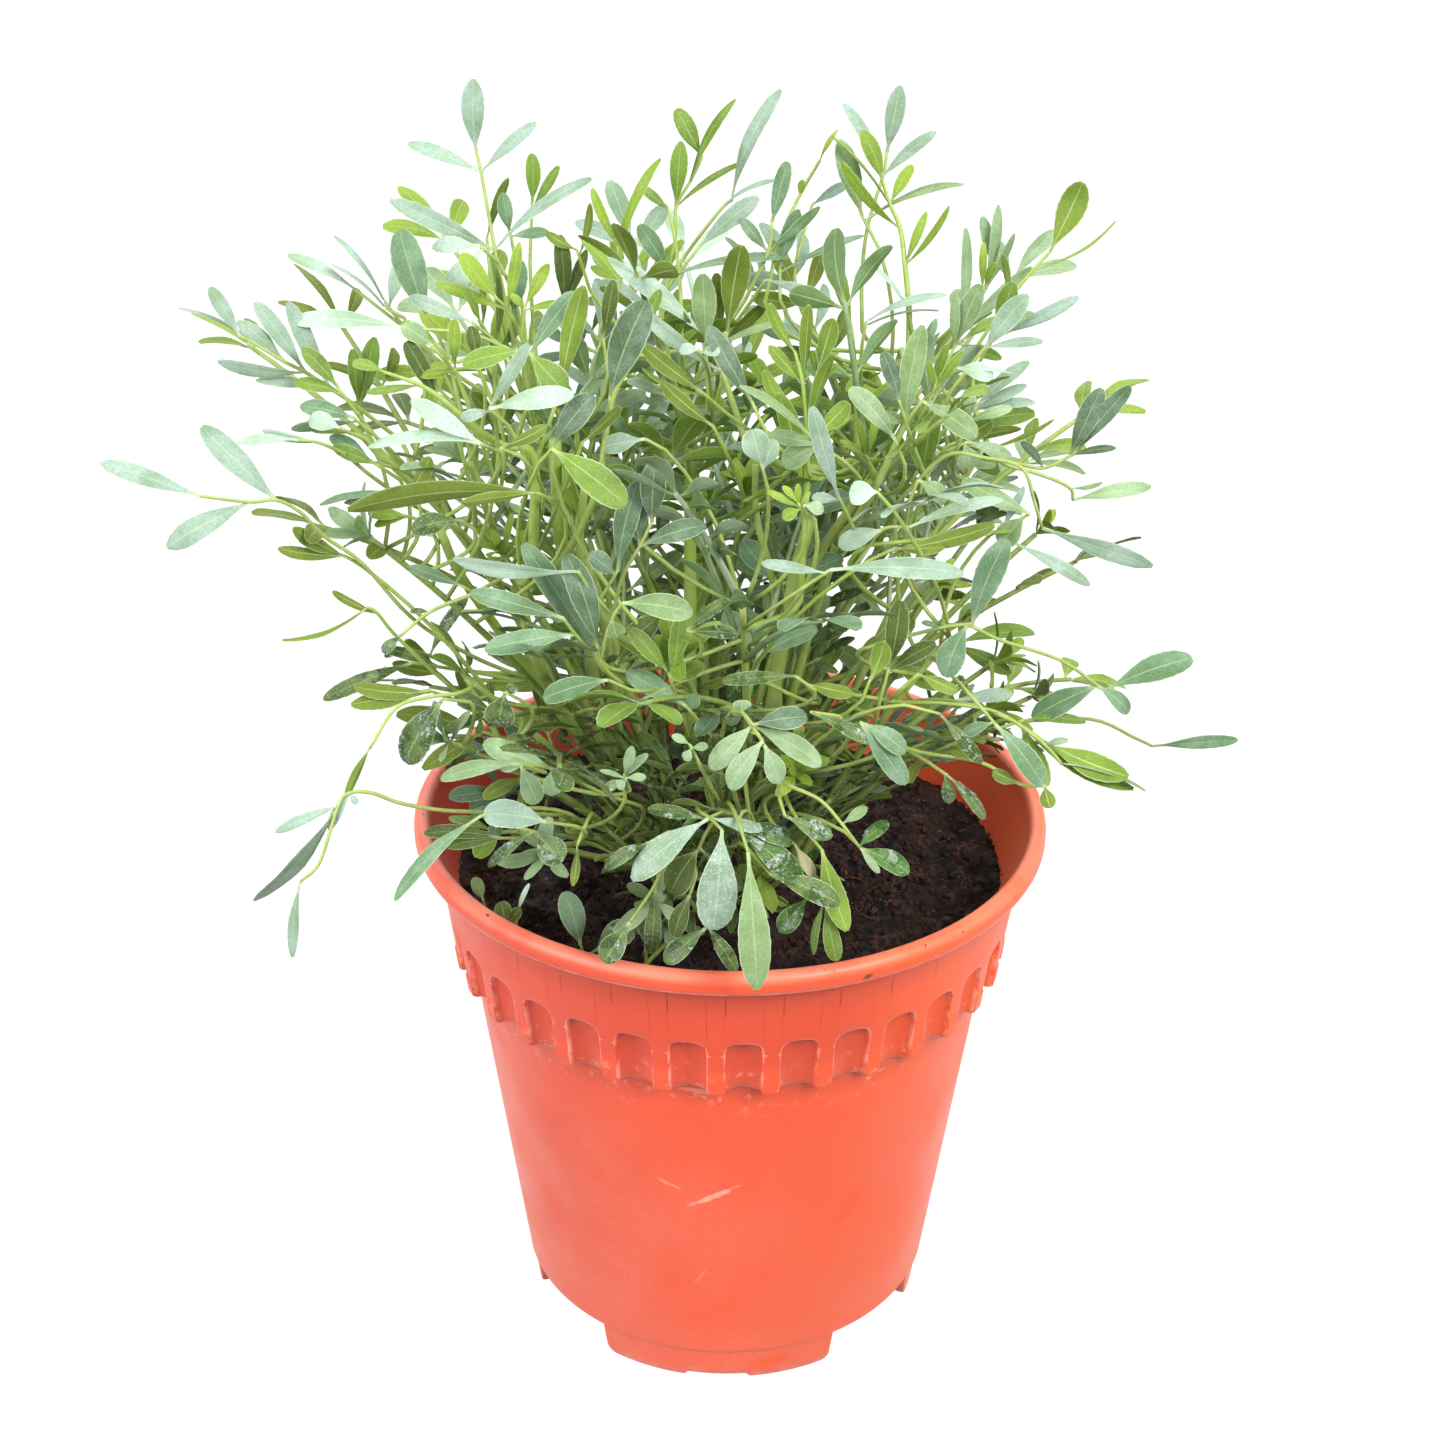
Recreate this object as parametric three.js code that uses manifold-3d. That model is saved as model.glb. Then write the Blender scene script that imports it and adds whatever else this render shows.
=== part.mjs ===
// A rue plant in a six-inch nursery pot. Millimetres, +Z up, the origin on the pot's axis at
// the surface it stands on, -Y towards the front.

import * as THREE from "three";
import { mergeVertices } from "three/addons/utils/BufferGeometryUtils.js";
import Module from "manifold-3d";

const wasm = await Module();
wasm.setup();

// The pot's driving sizes
const rimRadius = 75;
const potHeight = 135;
const footHeight = 9.6;
const footRadius = 49;
const bodyFootRadius = 50.8;
const bodySlope = 0.134;
const wallThickness = 2;
const floorThickness = 2.4;
const collarBottom = 98;
const collarBottomRadius = 66.2;
const collarTopRadius = 70.2;
const beadHeight = 5.7;
const collarTop = potHeight - beadHeight;
const mouthRadius = 71;
const potSides = 68;

// The ring of arched flutes pressed into the collar
const fluteCount = 34;
const flutePhase = 2.9;
const fluteWidth = 8.5;
const fluteTop = 113;
const fluteDepth = 2.3;

// Three feet: the foot ring with three gaps cut out of it, and a shallow notch under each foot.
// The gaps' middles are in degrees from the front, towards the right.
const footWidth = 2.6;
const footGapMiddles = [49.8, 178, 305.7];
const footGapAngle = 36;
const notchWidth = 16;
const notchHeight = 1.1;
const drainCount = 4;
const drainRadius = 4;
const drainCircle = 30;
const drainSides = 8;

// The soil
const soilTop = 118.4;
const soilRimRadius = 66.4;
const soilGap = 0.3;
const soilSides = 30;
const soilRings = [0.3, 0.58, 0.82];
const soilRoughness = 1.5;
const plantingDepth = 20;
const holeGap = 0.6;
const holeLength = 30;
const holeSides = 6;

// The plant's blades and stalks
const bladeThickness = 0.7;
const stalkWidth = 1.3;
const stalkBall = 0.8;
const stemSides = 5;
const stemSteps = 5;
const archedRise = 0.09;
const stemStraight = 2.4;
const stemTipRadius = 0.95;
const stemBow = 0.38;
const sideLeafletShare = 0.86;
const sideLeafletAngle = 54;
const pairSpacing = 0.92;
const placingTries = 40;
const turnPerLeaf = 137.5;

// How far the leaves keep from each other, from the soil, from a stem's root and from the rim
const bladeClearance = 0.7;
const soilClearance = 1;
const rootClearance = 6;
const beadMiddleRadius = rimRadius - 2;
const beadMiddleHeight = potHeight - 2.8;
const beadReach = 3.4;
const innerRimBand = 14;
const innerRimDepth = 3;

// The leafy stems. root and tip are where a stem leaves the soil and where it ends, radius is
// at the soil, and extra is how many leaves it has beside the ones listed. A listed leaf
// leaves its stem at the share given by on, and ends at tip. pairs counts its pairs of
// leaflets, blade is its leaflets' length, broad is a leaflet's width over its length, rise
// is how far the leaf arches, and neck is the bare stalk before its last leaflet.
const stems = [
  {
    name: "upper_left", root: [-15, 0], tip: [-47, 4, 236], radius: 1.9, extra: 3,
    leaves: [
      { on: 1, tip: [-56, 15, 302], pairs: 2, blade: 19, broad: 0.32, rise: 0.02 },
      { on: 0.84, tip: [-29, 22, 284], pairs: 2, blade: 17, broad: 0.34, rise: 0.1 },
      { on: 0.66, tip: [-68, -38, 236], pairs: 2, blade: 17, broad: 0.36, rise: 0.12 },
    ],
  },
  {
    name: "left", root: [-20, -6], tip: [-70, -16, 226], radius: 1.6, extra: 2,
    leaves: [
      { on: 1, tip: [-111, -20, 264], pairs: 2, blade: 16, broad: 0.34, rise: 0.06 },
      { on: 0.9, tip: [-118, 6, 254], pairs: 1, blade: 15, broad: 0.3, rise: 0.1 },
      { on: 0.84, tip: [-97, 20, 260], pairs: 2, blade: 18, broad: 0.24, rise: 0.1 },
      { on: 0.8, tip: [-74, 8, 270], pairs: 1, blade: 21, broad: 0.34, rise: 0.05 },
      { on: 0.66, tip: [-100, -38, 226], pairs: 2, blade: 16, broad: 0.38, rise: 0.1 },
    ],
  },
  {
    name: "far_left", root: [-17, -14], tip: [-58, -32, 184], radius: 1.2, extra: 1,
    leaves: [
      { on: 1, tip: [-123, -66, 251], pairs: 1, blade: 21, broad: 0.31, rise: -0.04, neck: 16 },
      { on: 0.9, tip: [-100, -50, 205], pairs: 1, blade: 18, broad: 0.3, rise: 0.12 },
      { on: 0.7, tip: [-91, -48, 184], pairs: 2, blade: 15, broad: 0.38, rise: 0.12 },
    ],
  },
  {
    name: "front_left", root: [-11, -19], tip: [-36, -42, 152], radius: 1.1, extra: 0,
    leaves: [
      { on: 1, tip: [-94, -97, 160], pairs: 2, blade: 19, broad: 0.22, rise: 0.26 },
      { on: 0.84, tip: [-71, -79, 156], pairs: 1, blade: 20, broad: 0.3, rise: 0.2 },
      { on: 0.7, tip: [-54, -66, 184], pairs: 1, blade: 16, broad: 0.45, rise: 0.12 },
      { on: 0.5, tip: [-66, -46, 150], pairs: 1, blade: 14, broad: 0.45, rise: 0.2 },
    ],
  },
  {
    name: "front", root: [-1, -18], tip: [-1, -38, 154], radius: 1.3, extra: 1,
    leaves: [
      { on: 1, tip: [-5, -84, 148], pairs: 1, blade: 22, broad: 0.44, rise: 0.6 },
      { on: 0.88, tip: [6, -88, 141], pairs: 0, blade: 28, broad: 0.27, rise: 0.5 },
      { on: 0.8, tip: [22, -70, 184], pairs: 1, blade: 16, broad: 0.45, rise: 0.14 },
      { on: 0.6, tip: [34, -64, 147], pairs: 1, blade: 17, broad: 0.38, rise: 0.3 },
    ],
  },
  {
    name: "middle_front", root: [5, -8], tip: [2, -36, 204], radius: 1.6, extra: 3,
    leaves: [
      { on: 1, tip: [-18, -66, 250], pairs: 2, blade: 18, broad: 0.34, rise: 0.12 },
      { on: 0.8, tip: [24, -78, 220], pairs: 2, blade: 17, broad: 0.42, rise: 0.14 },
      { on: 0.6, tip: [-26, -82, 200], pairs: 1, blade: 17, broad: 0.42, rise: 0.14 },
    ],
  },
  {
    name: "centre", root: [-4, 4], tip: [-12, 12, 244], radius: 1.7, extra: 3,
    leaves: [
      { on: 1, tip: [-11, 34, 292], pairs: 1, blade: 18, broad: 0.36, rise: 0.06 },
      { on: 0.93, tip: [9, 38, 294], pairs: 1, blade: 22, broad: 0.24, rise: 0.06 },
      { on: 0.8, tip: [-24, -24, 284], pairs: 2, blade: 17, broad: 0.36, rise: 0.06 },
    ],
  },
  {
    name: "centre_right", root: [7, 2], tip: [29, -6, 226], radius: 1.9, extra: 3,
    leaves: [
      { on: 1, tip: [20, -14, 280], pairs: 2, blade: 18, broad: 0.36, rise: 0.05 },
      { on: 0.8, tip: [46, -58, 238], pairs: 2, blade: 19, broad: 0.28, rise: 0.1 },
    ],
  },
  {
    name: "upper_right", root: [9, 11], tip: [38, 24, 240], radius: 1.5, extra: 2,
    leaves: [
      { on: 1, tip: [34, 31, 298], pairs: 2, blade: 15, broad: 0.36, rise: 0.03 },
      { on: 0.86, tip: [57, 36, 274], pairs: 2, blade: 15, broad: 0.3, rise: 0.05 },
    ],
  },
  {
    name: "right", root: [15, -2], tip: [56, 0, 228], radius: 1.6, extra: 2,
    leaves: [
      { on: 1, tip: [77, 14, 282], pairs: 1, blade: 21, broad: 0.36, rise: 0.06, neck: 8 },
      { on: 0.9, tip: [90, -18, 247], pairs: 2, blade: 17, broad: 0.38, rise: 0.1 },
      { on: 0.76, tip: [94, 24, 234], pairs: 2, blade: 17, broad: 0.34, rise: 0.1 },
    ],
  },
  {
    name: "low_right", root: [15, -11], tip: [48, -22, 190], radius: 1.3, extra: 0,
    leaves: [
      { on: 1, tip: [91, -34, 214], pairs: 2, blade: 17, broad: 0.3, rise: 0.14 },
      { on: 0.85, tip: [56, -54, 208], pairs: 1, blade: 17, broad: 0.36, rise: 0.2 },
      { on: 0.66, tip: [88, -48, 164], pairs: 1, blade: 18, broad: 0.36, rise: 0.22 },
      { on: 0.5, tip: [60, -64, 160], pairs: 1, blade: 16, broad: 0.36, rise: 0.24 },
    ],
  },
  {
    name: "far_right", root: [17, 5], tip: [54, 6, 166], radius: 1.2, extra: 1,
    leaves: [
      { on: 1, tip: [123, 8, 151], pairs: 2, blade: 20, broad: 0.24, rise: 0.22, neck: 4 },
      { on: 0.86, tip: [104, -16, 184], pairs: 1, blade: 18, broad: 0.34, rise: 0.1 },
      { on: 0.66, tip: [98, 30, 152], pairs: 2, blade: 17, broad: 0.36, rise: 0.2 },
    ],
  },
  {
    name: "back_left", root: [-13, 11], tip: [-42, 42, 218], radius: 1.6, extra: 2,
    leaves: [
      { on: 1, tip: [-80, 74, 262], pairs: 3, blade: 18, broad: 0.36, rise: 0.1 },
      { on: 0.76, tip: [-96, 54, 214], pairs: 2, blade: 18, broad: 0.34, rise: 0.12 },
      { on: 0.5, tip: [-74, 78, 174], pairs: 2, blade: 17, broad: 0.38, rise: 0.16 },
    ],
  },
  {
    name: "back", root: [-2, 19], tip: [-4, 54, 214], radius: 1.6, extra: 2,
    leaves: [
      { on: 1, tip: [-16, 96, 250], pairs: 3, blade: 17, broad: 0.34, rise: 0.12 },
      { on: 0.8, tip: [26, 98, 214], pairs: 2, blade: 18, broad: 0.38, rise: 0.14 },
      { on: 0.5, tip: [-12, 96, 164], pairs: 2, blade: 17, broad: 0.36, rise: 0.22 },
    ],
  },
  {
    name: "back_right", root: [11, 18], tip: [44, 46, 214], radius: 1.6, extra: 2,
    leaves: [
      { on: 1, tip: [78, 78, 252], pairs: 3, blade: 18, broad: 0.36, rise: 0.1 },
      { on: 0.7, tip: [88, 66, 200], pairs: 2, blade: 18, broad: 0.34, rise: 0.12 },
      { on: 0.44, tip: [62, 80, 156], pairs: 2, blade: 16, broad: 0.38, rise: 0.24 },
    ],
  },
];

// Plastic, soil and foliage colours
const potMaterial = new THREE.MeshStandardMaterial({ color: 0xf0603f, roughness: 0.42 });
const soilMaterial = new THREE.MeshStandardMaterial({ color: 0x2b1f1a, roughness: 0.95 });
const foliageMaterial = new THREE.MeshStandardMaterial({ color: 0x6f9a7a, roughness: 0.6 });

const radians = (degrees) => (degrees * Math.PI) / 180;
const vector = (x, y, z) => new THREE.Vector3(x, y, z);

// A seeded draw of numbers from 0 to 1
function seeded(seed) {
  const modulus = 2147483647;
  const multiplier = 16807;
  let state = (seed * 7919 + 12345) % modulus;
  const next = () => {
    state = (state * multiplier) % modulus;
    return state / modulus;
  };
  next();
  next();
  return next;
}

// A closed geometry as a solid that can be joined and cut
function solid(geometry) {
  const bare = geometry.index ? geometry.toNonIndexed() : geometry.clone();
  bare.deleteAttribute("normal");
  bare.deleteAttribute("uv");
  const merged = mergeVertices(bare, 1e-4);
  const triangles = Uint32Array.from(merged.index.array);
  const mesh = new wasm.Mesh({
    numProp: 3,
    vertProperties: Float32Array.from(merged.attributes.position.array),
    triVerts: triangles,
  });
  return new wasm.Manifold(mesh);
}

// A solid back as a geometry
function geometryOf(body) {
  const mesh = body.getMesh();
  const geometry = new THREE.BufferGeometry();
  geometry.setAttribute("position", new THREE.BufferAttribute(mesh.vertProperties, 3));
  geometry.setIndex(new THREE.BufferAttribute(mesh.triVerts, 1));
  return geometry;
}

// A surface turned round the pot's axis
function turned(profile, sides, startAngle = 0) {
  const points = profile.map(([radius, z]) => new THREE.Vector2(radius, z));
  const geometry = new THREE.LatheGeometry(points, sides, startAngle, Math.PI * 2);
  geometry.rotateX(Math.PI / 2);
  return geometry;
}

// The pot: tapered body, raised collar, rolled bead at the rim and a ring to stand on
const bodyRadius = (z) => bodyFootRadius + (z - footHeight) * bodySlope;
const plateBottom = footHeight + 0.4;

function potShell() {
  const plateTop = plateBottom + floorThickness;
  const innerRadius = (z) => bodyRadius(z) - wallThickness;
  const footInner = footRadius - footWidth;
  const footRecess = 0.6;
  const beadCorner = 1.8;
  const profile = [
    [0, plateBottom],
    [footInner, plateBottom],
    [footInner, 0],
    [footRadius, 0],
    [bodyFootRadius - footRecess, footHeight],
    [bodyFootRadius, footHeight],
    [bodyRadius(collarBottom), collarBottom],
    [collarBottomRadius, collarBottom],
    [collarTopRadius, collarTop],
    [rimRadius, collarTop + 0.6],
    [rimRadius, potHeight - beadCorner],
    [rimRadius - beadCorner, potHeight],
    [mouthRadius, potHeight - 1.4],
    [soilRimRadius + 0.4, soilTop],
    [innerRadius(fluteTop) + 0.2, soilTop - 5],
    [innerRadius(plateTop), plateTop],
    [0, plateTop],
  ];
  return solid(turned(profile, potSides, radians(flutePhase)));
}

// One flute: an arched opening pushed into the collar, its floor leaning with the collar
function fluteCutter(angle) {
  const half = fluteWidth / 2;
  const floorRadius = collarBottomRadius - fluteDepth;
  const cutterDepth = 9;
  const arch = new THREE.Shape();
  arch.moveTo(-half, collarBottom - 1);
  arch.lineTo(half, collarBottom - 1);
  arch.lineTo(half, fluteTop - half);
  arch.absarc(0, fluteTop - half, half, 0, Math.PI, false);
  arch.closePath();
  const geometry = new THREE.ExtrudeGeometry(arch, {
    depth: cutterDepth,
    bevelEnabled: false,
    curveSegments: 2,
  });
  const lean = Math.atan2(collarTopRadius - collarBottomRadius, collarTop - collarBottom);
  geometry.rotateX(Math.PI / 2);
  geometry.translate(0, 0, -collarBottom);
  geometry.rotateX(lean);
  geometry.translate(0, -floorRadius, collarBottom);
  geometry.rotateZ(radians(angle));
  return solid(geometry);
}

// A wedge of the ring between two angles, from below the pot up to a height
function ringGap(middleAngle, spread, height) {
  const outer = footRadius + 6;
  const inner = footRadius - 8;
  const below = 2;
  const half = radians(spread) / 2;
  const plan = new THREE.Shape();
  plan.absarc(0, 0, outer, -half, half, false);
  plan.absarc(0, 0, inner, half, -half, true);
  plan.closePath();
  const geometry = new THREE.ExtrudeGeometry(plan, {
    depth: height + below,
    bevelEnabled: false,
    curveSegments: 3,
  });
  geometry.translate(0, 0, -below);
  geometry.rotateZ(radians(middleAngle - 90));
  return solid(geometry);
}

function makePot() {
  const cuts = [];
  for (let i = 0; i < fluteCount; i++) {
    cuts.push(fluteCutter(flutePhase + (i * 360) / fluteCount));
  }
  const notchAngle = (notchWidth / footRadius / Math.PI) * 180;
  footGapMiddles.forEach((gapMiddle, i) => {
    const gapBefore = i ? footGapMiddles[i - 1] : footGapMiddles.at(-1) - 360;
    const footMiddle = (gapBefore + gapMiddle) / 2;
    cuts.push(ringGap(gapMiddle, footGapAngle, footHeight));
    cuts.push(ringGap(footMiddle, notchAngle, notchHeight));
  });
  const drainLength = floorThickness * 5;
  for (let i = 0; i < drainCount; i++) {
    const drain = new THREE.CylinderGeometry(drainRadius, drainRadius, drainLength, drainSides);
    drain.rotateX(Math.PI / 2);
    drain.translate(drainCircle, 0, footHeight + 1);
    drain.rotateZ(radians(((i + 0.5) * 360) / drainCount));
    cuts.push(solid(drain));
  }
  let body = potShell();
  for (const cut of cuts) {
    body = body.subtract(cut);
  }
  return body;
}

// A leafy stem's own line, from the soil to its tip
function stemCurve(stem) {
  const root = vector(stem.root[0], stem.root[1], soilTop + stemStraight);
  const tip = vector(...stem.tip);
  const bend = root.clone().lerp(tip, 0.5);
  bend.x += (root.x - tip.x) * stemBow * 0.5;
  bend.y += (root.y - tip.y) * stemBow * 0.5;
  return new THREE.QuadraticBezierCurve3(root, bend, tip);
}

const stemRadius = (stem, share) => stem.radius + (stemTipRadius - stem.radius) * share;

// A round tapering stalk along a stem's line, standing straight in its hole below the soil
function stemSolid(stem) {
  const curve = stemCurve(stem);
  const rings = [];
  const centres = [vector(stem.root[0], stem.root[1], soilTop - plantingDepth)];
  const sizes = [stem.radius];
  for (let i = 0; i <= stemSteps; i++) {
    const share = i / stemSteps;
    centres.push(curve.getPoint(share));
    sizes.push(stemRadius(stem, share));
  }
  const positions = [];
  const index = [];
  centres.forEach((centre, i) => {
    const before = centres[Math.max(i - 1, 0)];
    const after = centres[Math.min(i + 1, centres.length - 1)];
    const along = i === 0 ? vector(0, 0, 1) : after.clone().sub(before).normalize();
    const across = vector(0, 1, 0).cross(along).normalize();
    const other = along.clone().cross(across);
    const ring = [];
    for (let k = 0; k < stemSides; k++) {
      const angle = (k / stemSides) * Math.PI * 2;
      const spot = centre.clone();
      spot.addScaledVector(across, Math.cos(angle) * sizes[i]);
      spot.addScaledVector(other, Math.sin(angle) * sizes[i]);
      ring.push(positions.length / 3);
      positions.push(spot.x, spot.y, spot.z);
    }
    rings.push(ring);
  });
  for (let i = 0; i < rings.length - 1; i++) {
    for (let k = 0; k < stemSides; k++) {
      const next = (k + 1) % stemSides;
      index.push(rings[i][k], rings[i][next], rings[i + 1][next]);
      index.push(rings[i][k], rings[i + 1][next], rings[i + 1][k]);
    }
  }
  const last = rings[rings.length - 1];
  for (let k = 1; k < stemSides - 1; k++) {
    index.push(rings[0][0], rings[0][k + 1], rings[0][k]);
    index.push(last[0], last[k], last[k + 1]);
  }
  const geometry = new THREE.BufferGeometry();
  geometry.setAttribute("position", new THREE.Float32BufferAttribute(positions, 3));
  geometry.setIndex(index);
  return solid(geometry);
}

// A leaf is one arched sheet cut to the rib: sheet.points are its spots with the way the
// leaf's upper face looks there, sheet.faces its triangles, and sheet.balls a string of balls
// that it fits inside, to keep leaves apart.
function addPoint(sheet, spot, normal) {
  sheet.points.push({ spot, normal: normal.clone() });
  return sheet.points.length - 1;
}

function addQuad(sheet, a, b, c, d) {
  sheet.faces.push([a, b, c], [a, c, d]);
}

function addBall(sheet, spot, radius, blade) {
  sheet.balls.push({ x: spot.x, y: spot.y, z: spot.z, radius, blade });
}

// Where a leaflet has its corners along its length, how wide and how arched it is there, and
// the balls that it fits inside
const bladeStations = [
  { at: 0.52, half: 0.5, lift: 0.035 },
  { at: 0.85, half: 0.36, lift: 0.01 },
];
const bladeBalls = [
  { at: 0.26, size: 0.28, lift: 0.02 },
  { at: 0.48, size: 0.48, lift: 0.035 },
  { at: 0.68, size: 0.46, lift: 0.02 },
  { at: 0.86, size: 0.34, lift: 0.01 },
];
const tipLift = -0.05;
const bladeTipBall = 0.6;

// One leaflet: it widens from the stalk's edge, is broadest past its middle and ends blunt
function addBlade(sheet, a, b, along, upward, length, width) {
  const start = sheet.points[a].spot.clone().lerp(sheet.points[b].spot, 0.5);
  const normal = upward.clone().addScaledVector(along, -upward.dot(along)).normalize();
  const across = along.clone().cross(normal);
  const place = (at, lift) => {
    const spot = start.clone().addScaledVector(along, length * at);
    return spot.addScaledVector(normal, length * lift);
  };
  let [lastA, lastB] = [a, b];
  for (const station of bladeStations) {
    const centre = place(station.at, station.lift);
    const near = centre.clone().addScaledVector(across, -width * station.half);
    const far = centre.clone().addScaledVector(across, width * station.half);
    const nextA = addPoint(sheet, near, normal);
    const nextB = addPoint(sheet, far, normal);
    addQuad(sheet, lastA, lastB, nextB, nextA);
    [lastA, lastB] = [nextA, nextB];
  }
  const end = addPoint(sheet, place(1, tipLift), normal);
  sheet.faces.push([lastA, lastB, end]);
  for (const ball of bladeBalls) {
    addBall(sheet, place(ball.at, ball.lift), width * ball.size, true);
  }
  addBall(sheet, place(1, tipLift), bladeTipBall, true);
}

// A leaf from its place on a stem to its tip, with its pairs of leaflets
function leafSheet(start, leaf) {
  const sheet = { points: [], faces: [], balls: [] };
  const tip = vector(...leaf.tip);
  const span = tip.clone().sub(start);
  const length = span.length();
  const heading = span.clone().normalize();
  const bend = start.clone().lerp(tip, 0.5);
  bend.z += length * leaf.rise;
  const curve = new THREE.QuadraticBezierCurve3(start, bend, tip);
  const outward = vector(tip.x, tip.y, 0).normalize();
  const facing = vector(0, 0, 1).addScaledVector(outward, -0.6 * heading.z);
  const frameAt = (share) => {
    const along = curve.getTangent(share);
    const normal = facing.clone().addScaledVector(along, -facing.dot(along)).normalize();
    normal.applyAxisAngle(along, radians(leaf.roll || 0));
    return { along, normal, across: along.clone().cross(normal) };
  };
  const station = (share) => {
    const { normal, across } = frameAt(share);
    const spot = curve.getPoint(share);
    const left = spot.clone().addScaledVector(across, -stalkWidth / 2);
    const right = spot.clone().addScaledVector(across, stalkWidth / 2);
    return [addPoint(sheet, left, normal), addPoint(sheet, right, normal)];
  };
  const bladeStart = 1 - leaf.blade / length;
  const halfJoint = stalkWidth / 2 / length;
  const spacing = (leaf.blade * pairSpacing) / length;
  const lastJoint = bladeStart - halfJoint * 2 - (leaf.neck || 0) / length;
  const joints = [];
  for (let i = 0; i < leaf.pairs; i++) {
    joints.push(lastJoint - spacing * (leaf.pairs - 1 - i));
  }
  let last = station(0);
  const reachTo = (share) => {
    const next = station(share);
    addQuad(sheet, last[0], last[1], next[1], next[0]);
    last = next;
    return next;
  };
  const firstStop = joints.length ? joints[0] : bladeStart;
  if (Math.abs(leaf.rise) > archedRise) {
    reachTo(firstStop * 0.5);
  }
  joints.forEach((share, i) => {
    const low = reachTo(share - halfJoint);
    const high = reachTo(share + halfJoint);
    const { along, normal, across } = frameAt(share);
    const turn = radians(sideLeafletAngle);
    const length = leaf.blade * sideLeafletShare * (leaf.pairs > 1 && i === 0 ? 0.92 : 1);
    for (const side of [-1, 1]) {
      const way = along.clone().multiplyScalar(Math.cos(turn));
      way.addScaledVector(across, side * Math.sin(turn));
      const a = side < 0 ? low[0] : high[1];
      const b = side < 0 ? high[0] : low[1];
      addBlade(sheet, a, b, way, normal, length, length * leaf.broad);
    }
  });
  const end = curve.getPoint(bladeStart);
  const { normal } = frameAt(bladeStart);
  if (bladeStart - (joints.at(-1) || 0) > halfJoint * 4) {
    reachTo(bladeStart);
  }
  const way = tip.clone().sub(end).normalize();
  addBlade(sheet, last[0], last[1], way, normal, leaf.blade, leaf.blade * leaf.broad);
  const beadSpacing = 4;
  const beads = Math.ceil((length * bladeStart) / beadSpacing);
  for (let i = 0; i < beads; i++) {
    const share = (i / beads) * bladeStart;
    addBall(sheet, curve.getPoint(share), stalkBall, false);
  }
  return sheet;
}

// The sheet with its thickness: the same triangles on both faces, and walls round its edge
function thickened(sheet) {
  const count = sheet.points.length;
  const positions = [];
  for (const side of [0.5, -0.5]) {
    for (const { spot, normal } of sheet.points) {
      const moved = spot.clone().addScaledVector(normal, side * bladeThickness);
      positions.push(moved.x, moved.y, moved.z);
    }
  }
  const index = [];
  const edges = new Map();
  for (const [a, b, c] of sheet.faces) {
    index.push(a, b, c, a + count, c + count, b + count);
    for (const [from, to] of [[a, b], [b, c], [c, a]]) {
      edges.set(`${from} ${to}`, [from, to]);
    }
  }
  for (const [from, to] of edges.values()) {
    if (!edges.has(`${to} ${from}`)) {
      index.push(from, from + count, to + count, from, to + count, to);
    }
  }
  const geometry = new THREE.BufferGeometry();
  geometry.setAttribute("position", new THREE.Float32BufferAttribute(positions, 3));
  geometry.setIndex(index);
  return solid(geometry);
}

// Whether a sheet keeps clear of the pot, the soil and everything placed so far. Leaves of
// one stem only keep their blades apart, because they are joined.
function isClear(sheet, stemIndex, placed) {
  for (const ball of sheet.balls) {
    const radius = Math.hypot(ball.x, ball.y);
    if (radius < rimRadius && ball.z - ball.radius < soilTop + soilRoughness + soilClearance) {
      const own = stems[stemIndex].root;
      if (Math.hypot(ball.x - own[0], ball.y - own[1]) > rootClearance) {
        return false;
      }
    }
    const rimDistance = Math.hypot(radius - beadMiddleRadius, ball.z - beadMiddleHeight);
    if (rimDistance < ball.radius + beadReach + bladeClearance) {
      return false;
    }
    const underBead = ball.z < potHeight - innerRimDepth;
    if (underBead && radius > rimRadius - innerRimBand && radius < rimRadius + 1) {
      return false;
    }
    for (const other of placed) {
      if (other.stem === stemIndex && !(other.blade && ball.blade)) {
        continue;
      }
      const gap = ball.radius + other.radius + bladeClearance;
      const dx = ball.x - other.x;
      const dy = ball.y - other.y;
      const dz = ball.z - other.z;
      if (dx * dx + dy * dy + dz * dz < gap * gap) {
        return false;
      }
    }
  }
  return true;
}

// A leaf of a stem that isn't listed: where it points and how long it is are drawn by seed
function drawnLeaf(stem, stemIndex, leafIndex, attempt) {
  const next = seeded(1000 * (stemIndex + 1) + 50 * leafIndex + attempt);
  const on = 0.3 + (0.62 * (leafIndex + 0.5)) / stem.extra + (next() - 0.5) * 0.08;
  const start = stemCurve(stem).getPoint(on);
  const lean = Math.atan2(stem.tip[1], stem.tip[0]);
  const turn = lean + radians(turnPerLeaf * leafIndex + 40) + (next() - 0.5) * 1.6;
  const climb = radians(16 + 40 * on + (next() - 0.5) * 40);
  const length = 52 + 24 * next();
  const tip = [
    start.x + Math.cos(turn) * Math.cos(climb) * length,
    start.y + Math.sin(turn) * Math.cos(climb) * length,
    start.z + Math.sin(climb) * length,
  ];
  const pairs = next() < 0.6 ? 3 : 2;
  const blade = 14 + 4 * next();
  const broad = 0.3 + 0.14 * next();
  const roll = (next() - 0.5) * 50;
  return { on, tip, pairs, blade, broad, rise: 0.08, roll };
}

// A listed leaf, turned or moved a little more with each attempt
function nudgedLeaf(leaf, stemIndex, leafIndex, attempt) {
  const next = seeded(70000 + 1000 * stemIndex + 50 * leafIndex + attempt);
  const shift = attempt * 0.35;
  return {
    ...leaf,
    tip: leaf.tip.map((value) => value + (next() - 0.5) * 2 * shift),
    roll: (next() - 0.5) * Math.min(attempt * 12, 70),
  };
}

function place(sheet, stemIndex, placed, sheets) {
  for (const ball of sheet.balls) {
    placed.push({ ...ball, stem: stemIndex });
  }
  sheets[stemIndex].push(sheet);
}

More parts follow.
